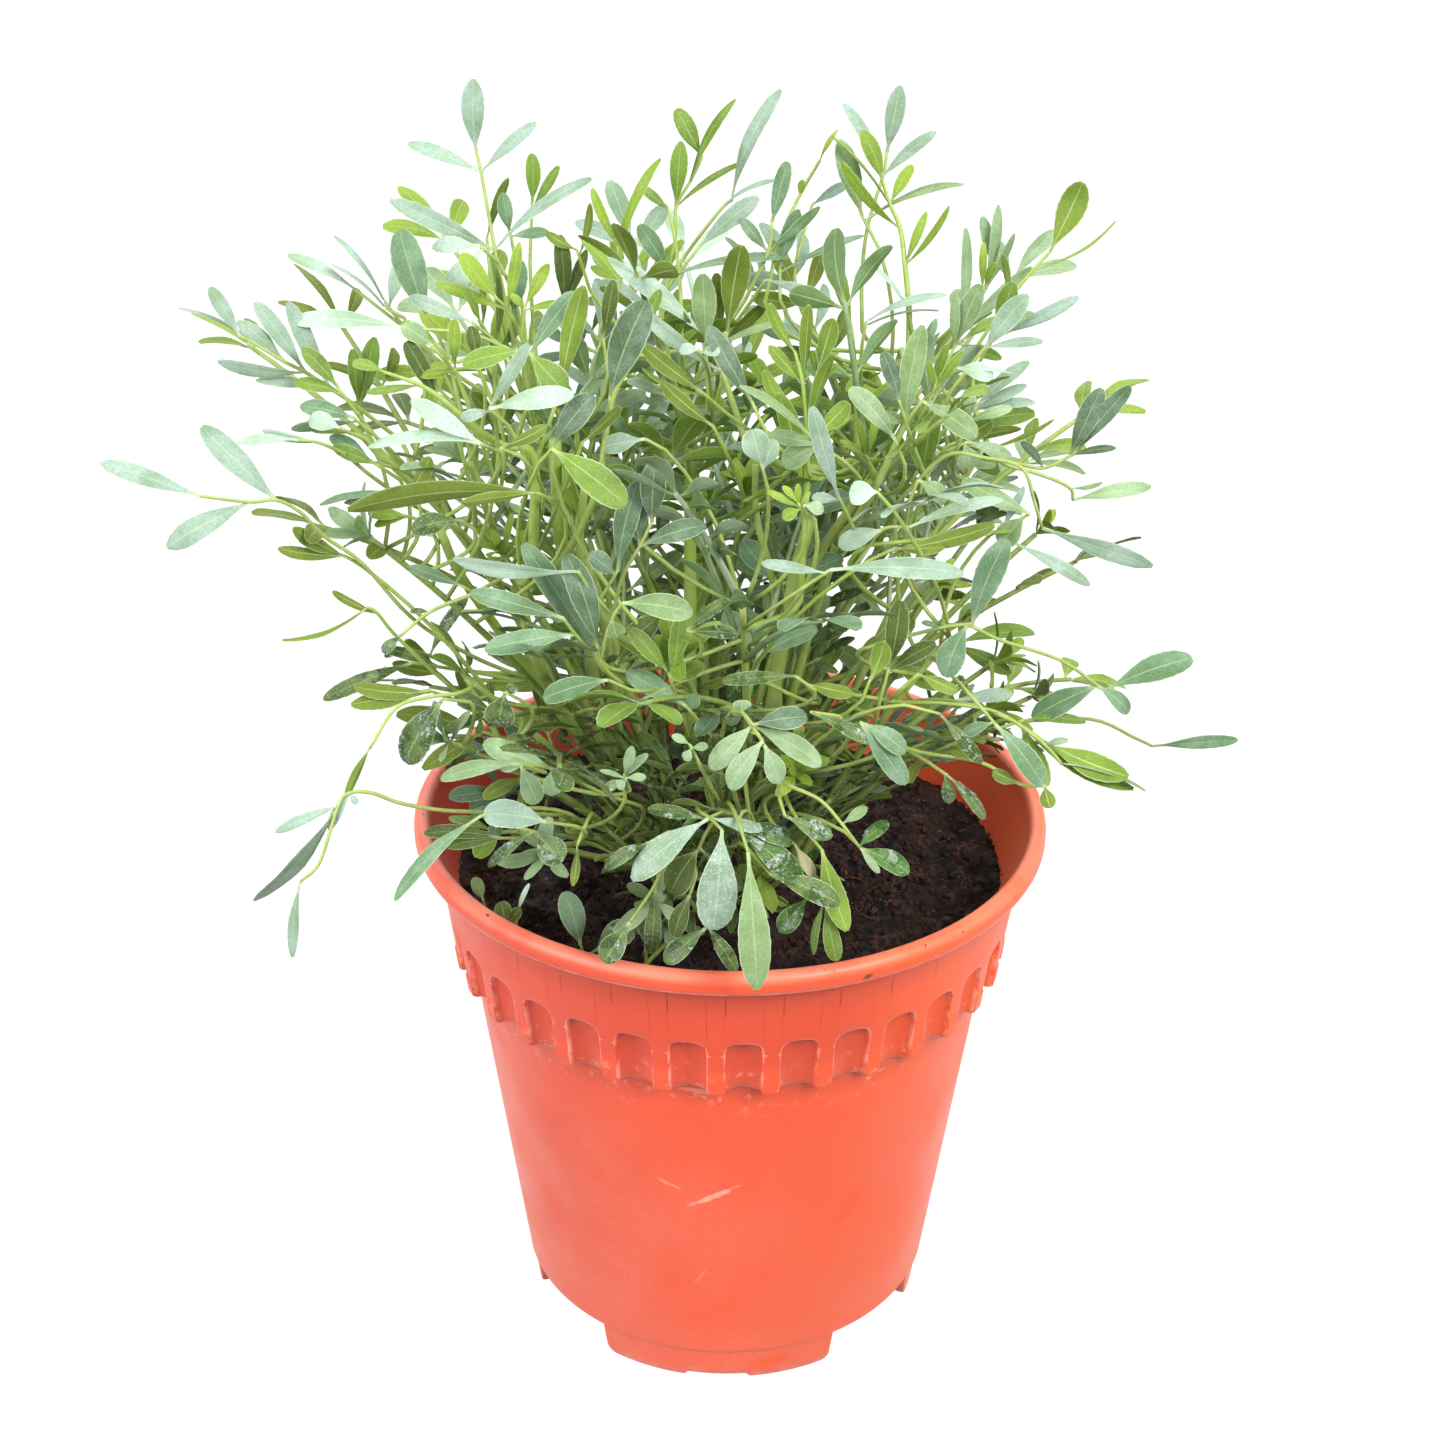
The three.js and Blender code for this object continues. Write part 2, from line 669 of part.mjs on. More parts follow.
// Every leaf's sheet, the listed ones first, and each stem's line kept clear from the start
function placeLeaves() {
  const placed = [];
  const sheets = stems.map(() => []);
  stems.forEach((stem, stemIndex) => {
    const curve = stemCurve(stem);
    const beads = 30;
    for (let i = 0; i <= beads; i++) {
      const spot = curve.getPoint(i / beads);
      const radius = stemRadius(stem, i / beads);
      placed.push({ x: spot.x, y: spot.y, z: spot.z, radius, blade: false, stem: stemIndex });
    }
  });
  const settle = (makeLeaf, stem, stemIndex) => {
    for (let attempt = 0; attempt < placingTries; attempt++) {
      const leaf = makeLeaf(attempt);
      const sheet = leafSheet(stemCurve(stem).getPoint(leaf.on), leaf);
      if (isClear(sheet, stemIndex, placed)) {
        place(sheet, stemIndex, placed, sheets);
        return;
      }
    }
  };
  stems.forEach((stem, stemIndex) => {
    stem.leaves.forEach((leaf, leafIndex) => {
      settle((attempt) => nudgedLeaf(leaf, stemIndex, leafIndex, attempt), stem, stemIndex);
    });
  });
  stems.forEach((stem, stemIndex) => {
    for (let leafIndex = 0; leafIndex < stem.extra; leafIndex++) {
      settle((attempt) => drawnLeaf(stem, stemIndex, leafIndex, attempt), stem, stemIndex);
    }
  });
  return sheets;
}

// The soil: a plug with an uneven top, and a plain hole for each stem
function makeSoil() {
  const bottom = plateBottom + floorThickness + soilGap;
  const innerRadius = (z) => bodyRadius(z) - wallThickness - soilGap;
  const profile = [
    [0, bottom],
    [innerRadius(bottom), bottom],
    [innerRadius(fluteTop), soilTop - 5.4],
    [soilRimRadius, soilTop - 0.4],
  ];
  for (const share of [...soilRings].reverse()) {
    profile.push([soilRimRadius * share, soilTop]);
  }
  profile.push([0, soilTop]);
  const geometry = turned(profile, soilSides);
  const spots = geometry.attributes.position;
  for (let i = 0; i < spots.count; i++) {
    const [x, y, z] = [spots.getX(i), spots.getY(i), spots.getZ(i)];
    const inside = Math.max(0, 1 - Math.hypot(x, y) / soilRimRadius);
    if (z > soilTop - 0.1) {
      const waves = Math.sin(x * 0.21 + 1.3) * Math.cos(y * 0.17) + 0.6 * Math.sin(y * 0.37 - x * 0.11);
      spots.setZ(i, soilTop + soilRoughness * (waves * 0.5 * Math.min(1, inside * 4) + inside * 0.6));
    }
  }
  let body = solid(geometry);
  for (const stem of stems) {
    const radius = stem.radius + holeGap;
    const hole = new THREE.CylinderGeometry(radius, radius, holeLength, holeSides);
    hole.rotateX(Math.PI / 2);
    hole.translate(stem.root[0], stem.root[1], soilTop - plantingDepth + holeLength / 2 - soilGap);
    body = body.subtract(solid(hole));
  }
  return body;
}

function named(name, body, material) {
  const mesh = new THREE.Mesh(geometryOf(body), material);
  mesh.name = name;
  return mesh;
}

const pottedRue = new THREE.Group();
pottedRue.add(named("pot", makePot(), potMaterial));
pottedRue.add(named("soil", makeSoil(), soilMaterial));
const sheets = placeLeaves();
stems.forEach((stem, stemIndex) => {
  let body = stemSolid(stem);
  for (const sheet of sheets[stemIndex]) {
    body = body.add(thickened(sheet));
  }
  pottedRue.add(named(`leafy_stem_${stem.name}`, body, foliageMaterial));
});

export default pottedRue;
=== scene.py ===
# A potted rue dressed for its picture: the pot, the soil and fifteen leafy stems stand where
# the frame has them, with finer meshes and their finishes. The dictionaries are in millimetres.

import math

import bmesh
import bpy
import numpy as np
from mathutils import Matrix, Vector, noise


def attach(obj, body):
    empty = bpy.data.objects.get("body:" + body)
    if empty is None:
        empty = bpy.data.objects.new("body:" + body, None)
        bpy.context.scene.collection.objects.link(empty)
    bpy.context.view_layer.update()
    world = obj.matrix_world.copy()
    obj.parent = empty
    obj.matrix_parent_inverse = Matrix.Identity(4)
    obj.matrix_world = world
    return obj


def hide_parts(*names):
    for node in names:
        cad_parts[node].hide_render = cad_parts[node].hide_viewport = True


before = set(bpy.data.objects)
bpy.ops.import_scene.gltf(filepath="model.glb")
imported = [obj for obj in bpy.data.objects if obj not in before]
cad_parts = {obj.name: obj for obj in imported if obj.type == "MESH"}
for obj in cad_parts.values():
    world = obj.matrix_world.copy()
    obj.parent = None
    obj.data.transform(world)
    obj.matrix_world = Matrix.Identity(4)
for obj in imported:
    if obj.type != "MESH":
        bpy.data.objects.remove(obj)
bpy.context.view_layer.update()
mm = 0.001

# Camera: where the photo was taken from, in the photo's own 1445 pixels
view = {
    "frameSize": 1445,
    "focal": 2600,  # pixels
    "place": (-2, -537, 444),
    "pitch": 28.16,  # degrees down
    "roll": 0.52,
    "sensor": 36,
}


def cameraTurn():
    lift = Matrix.Rotation(math.radians(90 - view["pitch"]), 4, "X")
    return lift @ Matrix.Rotation(math.radians(view["roll"]), 4, "Z")


def seenPoint(across, down, depth):
    # the point on the plane y = depth that the photo shows at this pixel
    half = view["frameSize"] / 2
    ray = cameraTurn() @ Vector((across - half, half - down, -view["focal"]))
    eye = Vector(view["place"])
    share = (depth - eye.y) / ray.y
    return np.array(eye + ray * share)


def makeCamera():
    lens = bpy.data.cameras.new("photoCamera")
    lens.sensor_width = view["sensor"]
    lens.lens = view["focal"] * view["sensor"] / view["frameSize"]
    lens.clip_start = 0.01
    camera = bpy.data.objects.new("photoCamera", lens)
    camera.matrix_world = Matrix.Translation(Vector(view["place"]) * mm) @ cameraTurn()
    bpy.context.scene.collection.objects.link(camera)
    bpy.context.scene.camera = camera


# Light: a white room, a broad soft light from the upper left and a weaker one from the right
studio = {
    "skyGlow": 0.69,
    "groundGlow": 0.16,
    "horizon": 0.06,  # how far above and below level the glow changes
    "floorPaint": 0.1,
    "aimHeight": 150,
    "floorSize": 6000,
    "roomHeight": 3600,
    "floorGlow": 1.0,
    "lights": (
        {"name": "keyLight", "place": (850, -900, 1000), "size": 600, "power": 21},
        {"name": "sideLight", "place": (-1000, -700, 600), "size": 900, "power": 15},
        {"name": "topLight", "place": (50, 100, 1400), "size": 900, "power": 7},
        {"name": "backLight", "place": (-100, 1500, 900), "size": 1200, "power": 8},
    ),
}


def makeStudio():
    scene = bpy.context.scene
    scene.view_settings.view_transform = "Standard"
    scene.view_settings.look = "None"
    # a white room with a glow from above, and less from below
    room = bpy.data.worlds.new("whiteRoom")
    room.use_nodes = True
    tree = room.node_tree
    wall = tree.nodes["Background"]
    wall.inputs["Color"].default_value = (1, 1, 1, 1)
    heading = tree.nodes.new("ShaderNodeTexCoord").outputs["Generated"]
    level = studio["horizon"]
    glow = ranged(tree, splitUp(tree, heading)["Z"], -level, level, studio["groundGlow"], studio["skyGlow"])
    tree.links.new(glow, wall.inputs["Strength"])
    scene.world = room
    for row in studio["lights"]:
        lamp = bpy.data.lights.new(row["name"], "AREA")
        lamp.size = row["size"] * mm
        lamp.energy = row["power"]
        light = bpy.data.objects.new(row["name"], lamp)
        place = Vector(row["place"]) * mm
        aim = Vector((0, 0, studio["aimHeight"] * mm)) - place
        light.matrix_world = Matrix.Translation(place) @ aim.to_track_quat("-Z", "Y").to_matrix().to_4x4()
        scene.collection.objects.link(light)
    half = studio["floorSize"] / 2 * mm
    roof = studio["roomHeight"] * mm
    corners = [(x * half, y * half, z) for z in (0, roof) for x, y in ((-1, -1), (1, -1), (1, 1), (-1, 1))]
    sheets = {"paleFloor": [(0, 1, 2, 3)], "paleWalls": [(4, 7, 6, 5)]}
    sheets["paleWalls"] += [(k, k + 4, (k + 1) % 4 + 4, (k + 1) % 4) for k in range(4)]
    paint, _, shader = newFinish("palePaint")
    shader.inputs["Base Color"].default_value = (*[studio["floorPaint"]] * 3, 1)
    shader.inputs["Roughness"].default_value = 1
    shader.inputs["Specular IOR Level"].default_value = 0
    shader.inputs["Emission Color"].default_value = (1, 1, 1, 1)
    shader.inputs["Emission Strength"].default_value = studio["floorGlow"]
    for name, faces in sheets.items():
        mesh = bpy.data.meshes.new(name)
        mesh.from_pydata(corners, [], faces)
        mesh.materials.append(paint)
        sheet = bpy.data.objects.new(name, mesh)
        scene.collection.objects.link(sheet)
        sheet.visible_diffuse = False  # white to look at, and throws no glow on the plant
        if name == "paleWalls":
            sheet.visible_glossy = False
            sheet.visible_transmission = False
            sheet.visible_shadow = False


# Node helpers for the finishes
def newFinish(name):
    material = bpy.data.materials.new(name)
    material.use_nodes = True
    tree = material.node_tree
    return material, tree, tree.nodes["Principled BSDF"]


def srgb(red, green, blue):
    # a colour as a painter reads it, 0 to 255, to the linear one that a shader takes
    def linear(value):
        share = value / 255
        return share / 12.92 if share <= 0.04045 else ((share + 0.055) / 1.055) ** 2.4
    return (linear(red), linear(green), linear(blue), 1)


def feed(tree, socket, value):
    if isinstance(value, bpy.types.NodeSocket):
        tree.links.new(value, socket)
    else:
        socket.default_value = value


def mixed(tree, share, first, second, blend="MIX"):
    node = tree.nodes.new("ShaderNodeMix")
    node.data_type = "RGBA"
    node.blend_type = blend
    feed(tree, node.inputs[0], share)
    feed(tree, node.inputs[6], first)
    feed(tree, node.inputs[7], second)
    return node.outputs[2]


def reckon(tree, operation, first, second=0.0):
    node = tree.nodes.new("ShaderNodeMath")
    node.operation = operation
    feed(tree, node.inputs[0], first)
    feed(tree, node.inputs[1], second)
    return node.outputs[0]


def ranged(tree, value, low, high, start=0.0, end=1.0):
    node = tree.nodes.new("ShaderNodeMapRange")
    node.interpolation_type = "SMOOTHSTEP"
    given = {"Value": value, "From Min": low, "From Max": high, "To Min": start, "To Max": end}
    for key, number in given.items():
        feed(tree, node.inputs[key], number)
    return node.outputs["Result"]


def times(tree, first, second):
    return reckon(tree, "MULTIPLY", first, second)


def plus(tree, first, second):
    return reckon(tree, "ADD", first, second)


def minus(tree, first, second):
    return reckon(tree, "SUBTRACT", first, second)


def cloudy(tree, coords, scale, detail=3.0, rough=0.55):
    node = tree.nodes.new("ShaderNodeTexNoise")
    feed(tree, node.inputs["Vector"], coords)
    node.inputs["Scale"].default_value = scale
    node.inputs["Detail"].default_value = detail
    node.inputs["Roughness"].default_value = rough
    return node.outputs["Fac"]


def patchy(tree, coords, scale, low, high, start=0.0, end=1.0, detail=3.0, rough=0.55):
    # soft patches: start where the noise is under low, end where it is over high
    return ranged(tree, cloudy(tree, coords, scale, detail, rough), low, high, start, end)


def patchesOf(tree, coords, table):
    # draws a finish's soft patches by their names in its table
    def patch(name, **more):
        return patchy(tree, coords, **table["patches"][name], **more)
    return patch


def placeOf(tree):
    return tree.nodes.new("ShaderNodeTexCoord").outputs["Object"]


def splitUp(tree, vector):
    node = tree.nodes.new("ShaderNodeSeparateXYZ")
    feed(tree, node.inputs[0], vector)
    return node.outputs


def markOf(tree, name, output="Fac"):
    node = tree.nodes.new("ShaderNodeAttribute")
    node.attribute_name = name
    return node.outputs[output]


def paintsOf(table):
    return {name: srgb(*colour) for name, colour in table["colours"].items()}


def bumped(tree, shader, height, strength, distance):
    node = tree.nodes.new("ShaderNodeBump")
    node.inputs["Strength"].default_value = strength
    node.inputs["Distance"].default_value = distance
    feed(tree, node.inputs["Height"], height)
    tree.links.new(node.outputs["Normal"], shader.inputs["Normal"])


# Mesh helper: millimetre points to an object at the origin
def makePiece(name, points, faces, finishes, faceFinish=None, uv=None, marks=None, crisp=None):
    mesh = bpy.data.meshes.new(name)
    mesh.from_pydata((np.asarray(points, float) * mm).tolist(), [], faces)
    for finish in finishes:
        mesh.materials.append(finish)
    if faceFinish is not None:
        mesh.polygons.foreach_set("material_index", np.asarray(faceFinish, np.int32))
    if uv is not None:
        layer = mesh.uv_layers.new(name="leafUv")
        layer.data.foreach_set("uv", np.asarray(uv, np.float32).ravel())
    for key, values in (marks or {}).items():
        values = np.asarray(values, np.float32)
        painted = values.ndim == 2
        layer = mesh.attributes.new(key, "FLOAT_COLOR" if painted else "FLOAT", "POINT")
        layer.data.foreach_set("color" if painted else "value", values.ravel())
    mesh.shade_smooth()
    if crisp is not None:
        ends = np.zeros(len(mesh.edges) * 2, np.int32)
        mesh.edges.foreach_get("vertices", ends)
        flags = np.asarray(crisp, bool)[ends].reshape(-1, 2).all(axis=1)
        layer = mesh.attributes.new("sharp_edge", "BOOLEAN", "EDGE")
        layer.data.foreach_set("value", flags)
    mesh.update()
    piece = bpy.data.objects.new(name, mesh)
    bpy.context.scene.collection.objects.link(piece)
    return piece


# Pot: one moulded wall as a grid of rows and columns, with its flutes, bead and feet
pot = {
    "rimRadius": 75,
    "height": 135,
    "footHeight": 9.6,
    "footRadius": 49,
    "footInner": 46.4,
    "bodyFootRadius": 50.8,
    "bodySlope": 0.134,
    "wall": 2,
    "floorThickness": 2.4,
    "floorLift": 0.4,  # above the foot ring's top
    "innerBend": 113,  # above this height the wall's inside turns out to the mouth
    "drainSides": 24,
    "creaseAngle": 52,
    "collarBottom": 98,
    "collarMiddle": 105,
    "collarBottomRadius": 66.2,
    "collarTopRadius": 70.2,
    "collarTop": 129.3,
    "mouthRadius": 71,
    "beadMiddle": (72.95, 132.25),  # radius and height
    "beadReach": (2.05, 2.75),
    "beadPower": 0.8,  # under 1 is squarer than a circle
    "soilLine": 118.4,
    "flutes": 34,
    "flutePhase": 2.9,  # degrees from the front
    "fluteHalf": 4.25,
    "fluteTop": 113,
    "fluteArch": 3.4,  # height of its arched top
    "fluteSideDepth": 1.1,
    "fluteMiddleDepth": 2.9,
    "fluteLip": 0.3,
    "fluteLand": 1.1,
    "fluteFloor": 0.1,  # depth of its worn lip
    "archPower": 0.72,
    "padHeight": 0.3,  # at the foot of each land
    "footGaps": (49.8, 178, 305.7),  # the gaps' middles, in degrees from the front
    "footGap": 36,
    "footCorner": 2.4,
    "notchHalf": 8,
    "notchHeight": 1.1,
    "drains": 4,
    "drainRadius": 4,
    "drainCircle": 30,
}


def bodyRadius(z):
    return pot["bodyFootRadius"] + (z - pot["footHeight"]) * pot["bodySlope"]


def collarRadius(z):
    share = (z - pot["collarBottom"]) / (pot["collarTop"] - pot["collarBottom"])
    return pot["collarBottomRadius"] + (pot["collarTopRadius"] - pot["collarBottomRadius"]) * share


def footBottom(angle):
    # how high the foot ring ends at an angle in degrees: 0 on a foot, the ring's top in a gap
    def apart(middle):
        return abs((angle - middle + 180) % 360 - 180)
    gaps = pot["footGaps"]
    arc = math.radians(min(apart(gap) for gap in gaps) - pot["footGap"] / 2) * pot["footRadius"]
    away = min(apart((gaps[i - 1] + gaps[i] - (360 if i == 0 else 0)) / 2) for i in range(len(gaps)))
    top = pot["footHeight"] - 0.25
    if arc <= 0:
        return top
    corner = pot["footCorner"]
    level = 0.0
    if arc < corner:
        level = corner - math.sqrt(corner ** 2 - (corner - arc) ** 2)
    notch = math.radians(away) * pot["footRadius"]
    dip = min(1, max(0, (pot["notchHalf"] - notch) / 0.8))
    return max(level, pot["notchHeight"] * dip)


def fluteColumns():
    # one flute's columns: arc distance from its middle, and its turn round the arched top
    half = pot["fluteHalf"]
    lip = pot["fluteLip"]
    land = half + pot["fluteLand"]
    sector = math.pi * collarRadius(pot["collarMiddle"]) / pot["flutes"]
    columns = [(-sector, None), (-land, None)]
    columns += [(-across, 180) for across in (half + lip, half, half - lip)]
    columns += [(None, turn) for turn in (157.5, 135, 112.5, 90, 67.5, 45, 22.5)]
    columns += [(across, 0) for across in (half - lip, half, half + lip)]
    columns.append((land, None))
    return columns


def squareTurn(turn, power):
    # a point of a circle that is squarer the further power is under 1
    c, s = math.cos(math.radians(turn)), math.sin(math.radians(turn))
    return math.copysign(abs(c) ** power, c), math.copysign(abs(s) ** power, s)


def archPoint(radius, turn):
    # a point on the flute's arched top, squarer than a half circle
    across, rise = squareTurn(turn, pot["archPower"])
    return across * radius, rise * (pot["fluteArch"] - pot["fluteHalf"] + radius)


def fluteGrid():
    # rows of (arc distance, height, depth) over one flute, from the collar's foot to its top
    half = pot["fluteHalf"]
    lip = pot["fluteLip"]
    spring = pot["fluteTop"] - pot["fluteArch"]
    low = pot["collarBottom"]
    columns = fluteColumns()
    grid = []

    def ringSpot(number, ring):
        # ring 0 is the floor's edge, 1 the lip and 2 just outside it
        side, turn = columns[number]
        radius = half + (ring - 1) * lip
        if turn is None:
            return side, spring + (ring - 2) * lip
        if side is None:
            across, rise = archPoint(radius, turn)
            return across, spring + rise
        place = {half - lip: 0, half: 1, half + lip: 2}[abs(side)]
        if place > ring:
            return side, spring - (place - ring) * lip
        if place == ring:
            return side, spring
        small = 8 * (ring - place)
        across, rise = archPoint(radius, small)
        return math.copysign(across, side), spring + rise

    def depthAt(number, across, ring):
        side, turn = columns[number]
        if turn is None or ring == 2:
            return 0.0
        if ring == 1:
            return pot["fluteFloor"]
        if side is not None and abs(side) > half - lip + 0.01:
            return pot["fluteFloor"] if abs(side) < half + 0.01 else 0.0
        bowl = 1 - (across / half) ** 2
        return pot["fluteSideDepth"] + (pot["fluteMiddleDepth"] - pot["fluteSideDepth"]) * bowl

    steps = [0, 0.03, 0.14, 0.3, 0.42, 0.46, 0.66, 0.82, 0.93]
    for share in steps:
        row = []
        for number in range(len(columns)):
            across, top = ringSpot(number, 0)
            row.append((across, low + (top - low) * share, depthAt(number, across, 0)))
        grid.append(row)
    for ring in (0, 1, 2):
        row = []
        for number in range(len(columns)):
            across, z = ringSpot(number, ring)
            depth = depthAt(number, across, ring)
            if ring == 0 and depth > 1:
                depth = min(depth, pot["fluteSideDepth"] + 0.5)
            row.append((across, z, depth))
        grid.append(row)
    top = pot["collarTop"] - 0.5
    for share in (0.08, 0.22, 0.4, 0.6, 0.8, 0.92, 1):
        row = []
        for number in range(len(columns)):
            across, z = ringSpot(number, 2)
            side = columns[number][0]
            straight = side if side is not None else across
            blend = min(1, share * 1.5)
            row.append((across + (straight - across) * blend, z + (top - z) * share, 0.0))
        grid.append(row)
    return grid


def potGrid():
    # every row of the wall as (angle, radius, height, wear, painted shade) lists, from the inner foot up and
    # over
    columns = fluteColumns()
    collar = fluteGrid()
    middleRadius = collarRadius(pot["collarMiddle"])
    angles = []
    for flute in range(pot["flutes"]):
        centre = pot["flutePhase"] + flute * 360 / pot["flutes"]
        for number in range(len(columns)):
            across = collar[0][number][0]
            angles.append(centre + math.degrees(across / middleRadius))
    foot = pot["footHeight"]
    plate = foot + pot["floorLift"]
    rows = []

    def plain(radius, z, wear=0.0, shade=0.0):
        rows.append([(angle, radius, z, wear, shade) for angle in angles])

    plain(pot["footInner"], plate)
    for inward, up in ((0, 0.5), (0.4, 0.08), (0.9, 0)):
        rows.append([(angle, pot["footInner"] + inward, footBottom(angle) + up, 0, 0) for angle in angles])
    for inset, up in ((0.7, 0), (0.2, 0.1), (0, 0.5)):
        row = []
        for angle in angles:
            z = footBottom(angle) + up
            row.append((angle, pot["footRadius"] + min(z, foot) * 0.125 - inset, min(z, foot - 0.1), 0.3, 0))
        rows.append(row)
    for share in (0.35, 0.7):
        row = []
        for angle in angles:
            z = footBottom(angle)
            z += (foot - 0.3 - z) * share
            row.append((angle, pot["footRadius"] + z * 0.125, z, 0, 0))
        rows.append(row)
    plain(pot["footRadius"] + 1.2, foot - 0.06)
    plain(pot["bodyFootRadius"] - 0.12, foot + 0.05)
    plain(pot["bodyFootRadius"] + 0.08, foot + 0.45)
    # the body, with painted shade just under the collar
    for z in (11, 14, 20, 28, 38, 48, 58, 68, 77, 85, 91, 94.5, 96.9, 97.7):
        plain(bodyRadius(z), z, 0, max(0, z - 91) / 5)
    under = pot["collarBottom"]
    plain(bodyRadius(under) + 0.35, under, 0, 1.6)
    for number, row in enumerate(collar):
        cast = []
        for flute in range(pot["flutes"]):
            centre = pot["flutePhase"] + flute * 360 / pot["flutes"]
            for across, z, depth in row:
                radius = collarRadius(z) - depth
                if number == 0:
                    radius -= pot["padHeight"]
                if 0 < number < 5 and depth == 0:
                    radius += pot["padHeight"]
                lip = 0 < depth < 1 or number < 1
                turn = centre + math.degrees(across / middleRadius)
                # painted shade in the flute hollows, deepest under each arch's top, and more of it up under
                # the bead
                shade = 0.7 if depth >= 1 else 0.0
                if depth >= 1 and z > pot["fluteTop"] - 3:
                    shade = 1.9
                cast.append((turn, radius, z, 0.9 if lip else 0.0, shade + max(0, z - 119.5) / 4))
        rows.append(cast)
    # painted shade under the bead
    plain(pot["collarTopRadius"] + 0.05, pot["collarTop"] - 0.15, 0, 2)
    plain(pot["collarTopRadius"] + 0.5, pot["collarTop"] + 0.02, 0, 2)
    for turn in (-78, -60, -45, -28, -10, 8, 26, 44, 60, 75, 90, 105, 120, 138, 156):
        out, up = squareTurn(turn, pot["beadPower"])
        radius = pot["beadMiddle"][0] + out * pot["beadReach"][0]
        wear = 0.8 if turn in (-60, -45) else 0.0
        plain(radius, pot["beadMiddle"][1] + up * pot["beadReach"][1], wear)
    plain(pot["mouthRadius"] - 0.15, pot["height"] - 3)
    for z in (129, 125, 121, pot["soilLine"], 116, 111, 104, 98, 80, 60, 40, 25, 16):
        share = max(0, (z - pot["innerBend"]) / (pot["height"] - 3 - pot["innerBend"]))
        inner = bodyRadius(min(z, pot["innerBend"])) - pot["wall"]
        outer = pot["mouthRadius"] - 0.15
        plain(inner + (outer - inner) * share, z)
    top = plate + pot["floorThickness"]
    plain(bodyRadius(top) - pot["wall"] - 0.1, top + 0.3)
    plain(bodyRadius(top) - pot["wall"] - 0.5, top)
    return rows


def makePot(finish):
    rows = potGrid()
    count = len(rows[0])
    points, wears, paintedShades = [], [], []
    for row in rows:
        for angle, radius, z, wear, floor in row:
            turn = math.radians(angle)
            points.append((radius * math.sin(turn), -radius * math.cos(turn), z))
            wears.append(wear)
            paintedShades.append(floor)
    mesh = bmesh.new()
    verts = [mesh.verts.new(Vector(point) * mm) for point in points]
    for k in range(len(rows) - 1):
        for i in range(count):
            j = (i + 1) % count
            a, b = k * count, (k + 1) * count
            mesh.faces.new((verts[a + i], verts[a + j], verts[b + j], verts[b + i]))
    mesh.verts.ensure_lookup_table()
    # the two sides of the floor, with the drain holes through them
    sides = pot["drainSides"]
    drains = []
    low = pot["footHeight"] + pot["floorLift"]
    for level, z in ((0, low), (len(rows) - 1, low + pot["floorThickness"])):
        loops = [verts[level * count:(level + 1) * count]]
        rims = []
        for k in range(pot["drains"]):
            middle = math.radians((k + 0.5) * 360 / pot["drains"])
            rim = []
            for i in range(sides):
                turn = i / sides * math.tau
                x = math.cos(middle) * pot["drainCircle"] + math.cos(turn) * pot["drainRadius"]
                y = math.sin(middle) * pot["drainCircle"] + math.sin(turn) * pot["drainRadius"]
                rim.append(mesh.verts.new((x * mm, y * mm, z * mm)))
            rims.append(rim)
        drains.append(rims)
        edges = []
        for loop in loops + rims:
            for i, vert in enumerate(loop):
                ahead = loop[(i + 1) % len(loop)]
                edges.append(mesh.edges.get((vert, ahead)) or mesh.edges.new((vert, ahead)))
        bmesh.ops.triangle_fill(mesh, use_beauty=True, use_dissolve=False, edges=edges)
    for lower, upper in zip(*drains):
        for i in range(sides):
            j = (i + 1) % sides
            mesh.faces.new((lower[i], lower[j], upper[j], upper[i]))
    bmesh.ops.recalc_face_normals(mesh, faces=mesh.faces[:])
    data = bpy.data.meshes.new("nurseryPot")
    mesh.to_mesh(data)
    mesh.free()
    data.materials.append(finish)
    data.shade_smooth()
    piece = bpy.data.objects.new("nurseryPot", data)
    bpy.context.scene.collection.objects.link(piece)
    # fluteFloor carries the painted shade in the flutes, under the collar and under the bead
    for key, values in (("edgeWear", wears), ("fluteFloor", paintedShades)):
        values = values + [0.0] * (len(data.vertices) - len(values))
        data.attributes.new(key, "FLOAT", "POINT").data.foreach_set("value", values)
    creases = data.attributes.new("sharp_edge", "BOOLEAN", "EDGE")
    normals = np.zeros(len(data.polygons) * 3)
    data.polygons.foreach_get("normal", normals)
    normals = normals.reshape(-1, 3)
    faceOf = {}
    for polygon in data.polygons:
        for key in polygon.edge_keys:
            faceOf.setdefault(key, []).append(polygon.index)
    sharpest = math.cos(math.radians(pot["creaseAngle"]))
    flags = []
    for edge in data.edges:
        found = faceOf.get(tuple(sorted(edge.vertices)), [])
        bent = len(found) == 2 and normals[found[0]] @ normals[found[1]] < sharpest
        flags.append(bool(bent))
    creases.data.foreach_set("value", flags)
    return piece


# Soil: a plug of peat with a lumpy top, crumbs and fibres on it
soil = {
    "top": 118.4,
    "rimRadius": 66.3,
    "roughness": 1.5,
    "bottom": 12.9,
    "sides": 180,
    "rings": 64,
    "lumpSize": 9,
    "lumpHeight": 1.5,
    "grainSize": 2.1,
    "grainHeight": 1.5,
    "crumbs": 0.24,  # a square millimetre
    "crumbSize": (0.25, 1.05),
    "fibres": 0.024,
    "fibreLength": 5.5,
    "fibreThickness": 0.15,
    "fibreSag": 0.7,
    "fibreTilt": 0.35,
    "fibreStretch": (0.4, 1.3),
    "crumple": 1.5,
    "fullTurn": 6.28,
    "facingUp": 0.4,  # crumbs and fibres lie where the top faces up this much
    "waist": (113, 62.3),  # height and radius of its side's bend
    "bottomRadius": 48.9,
}


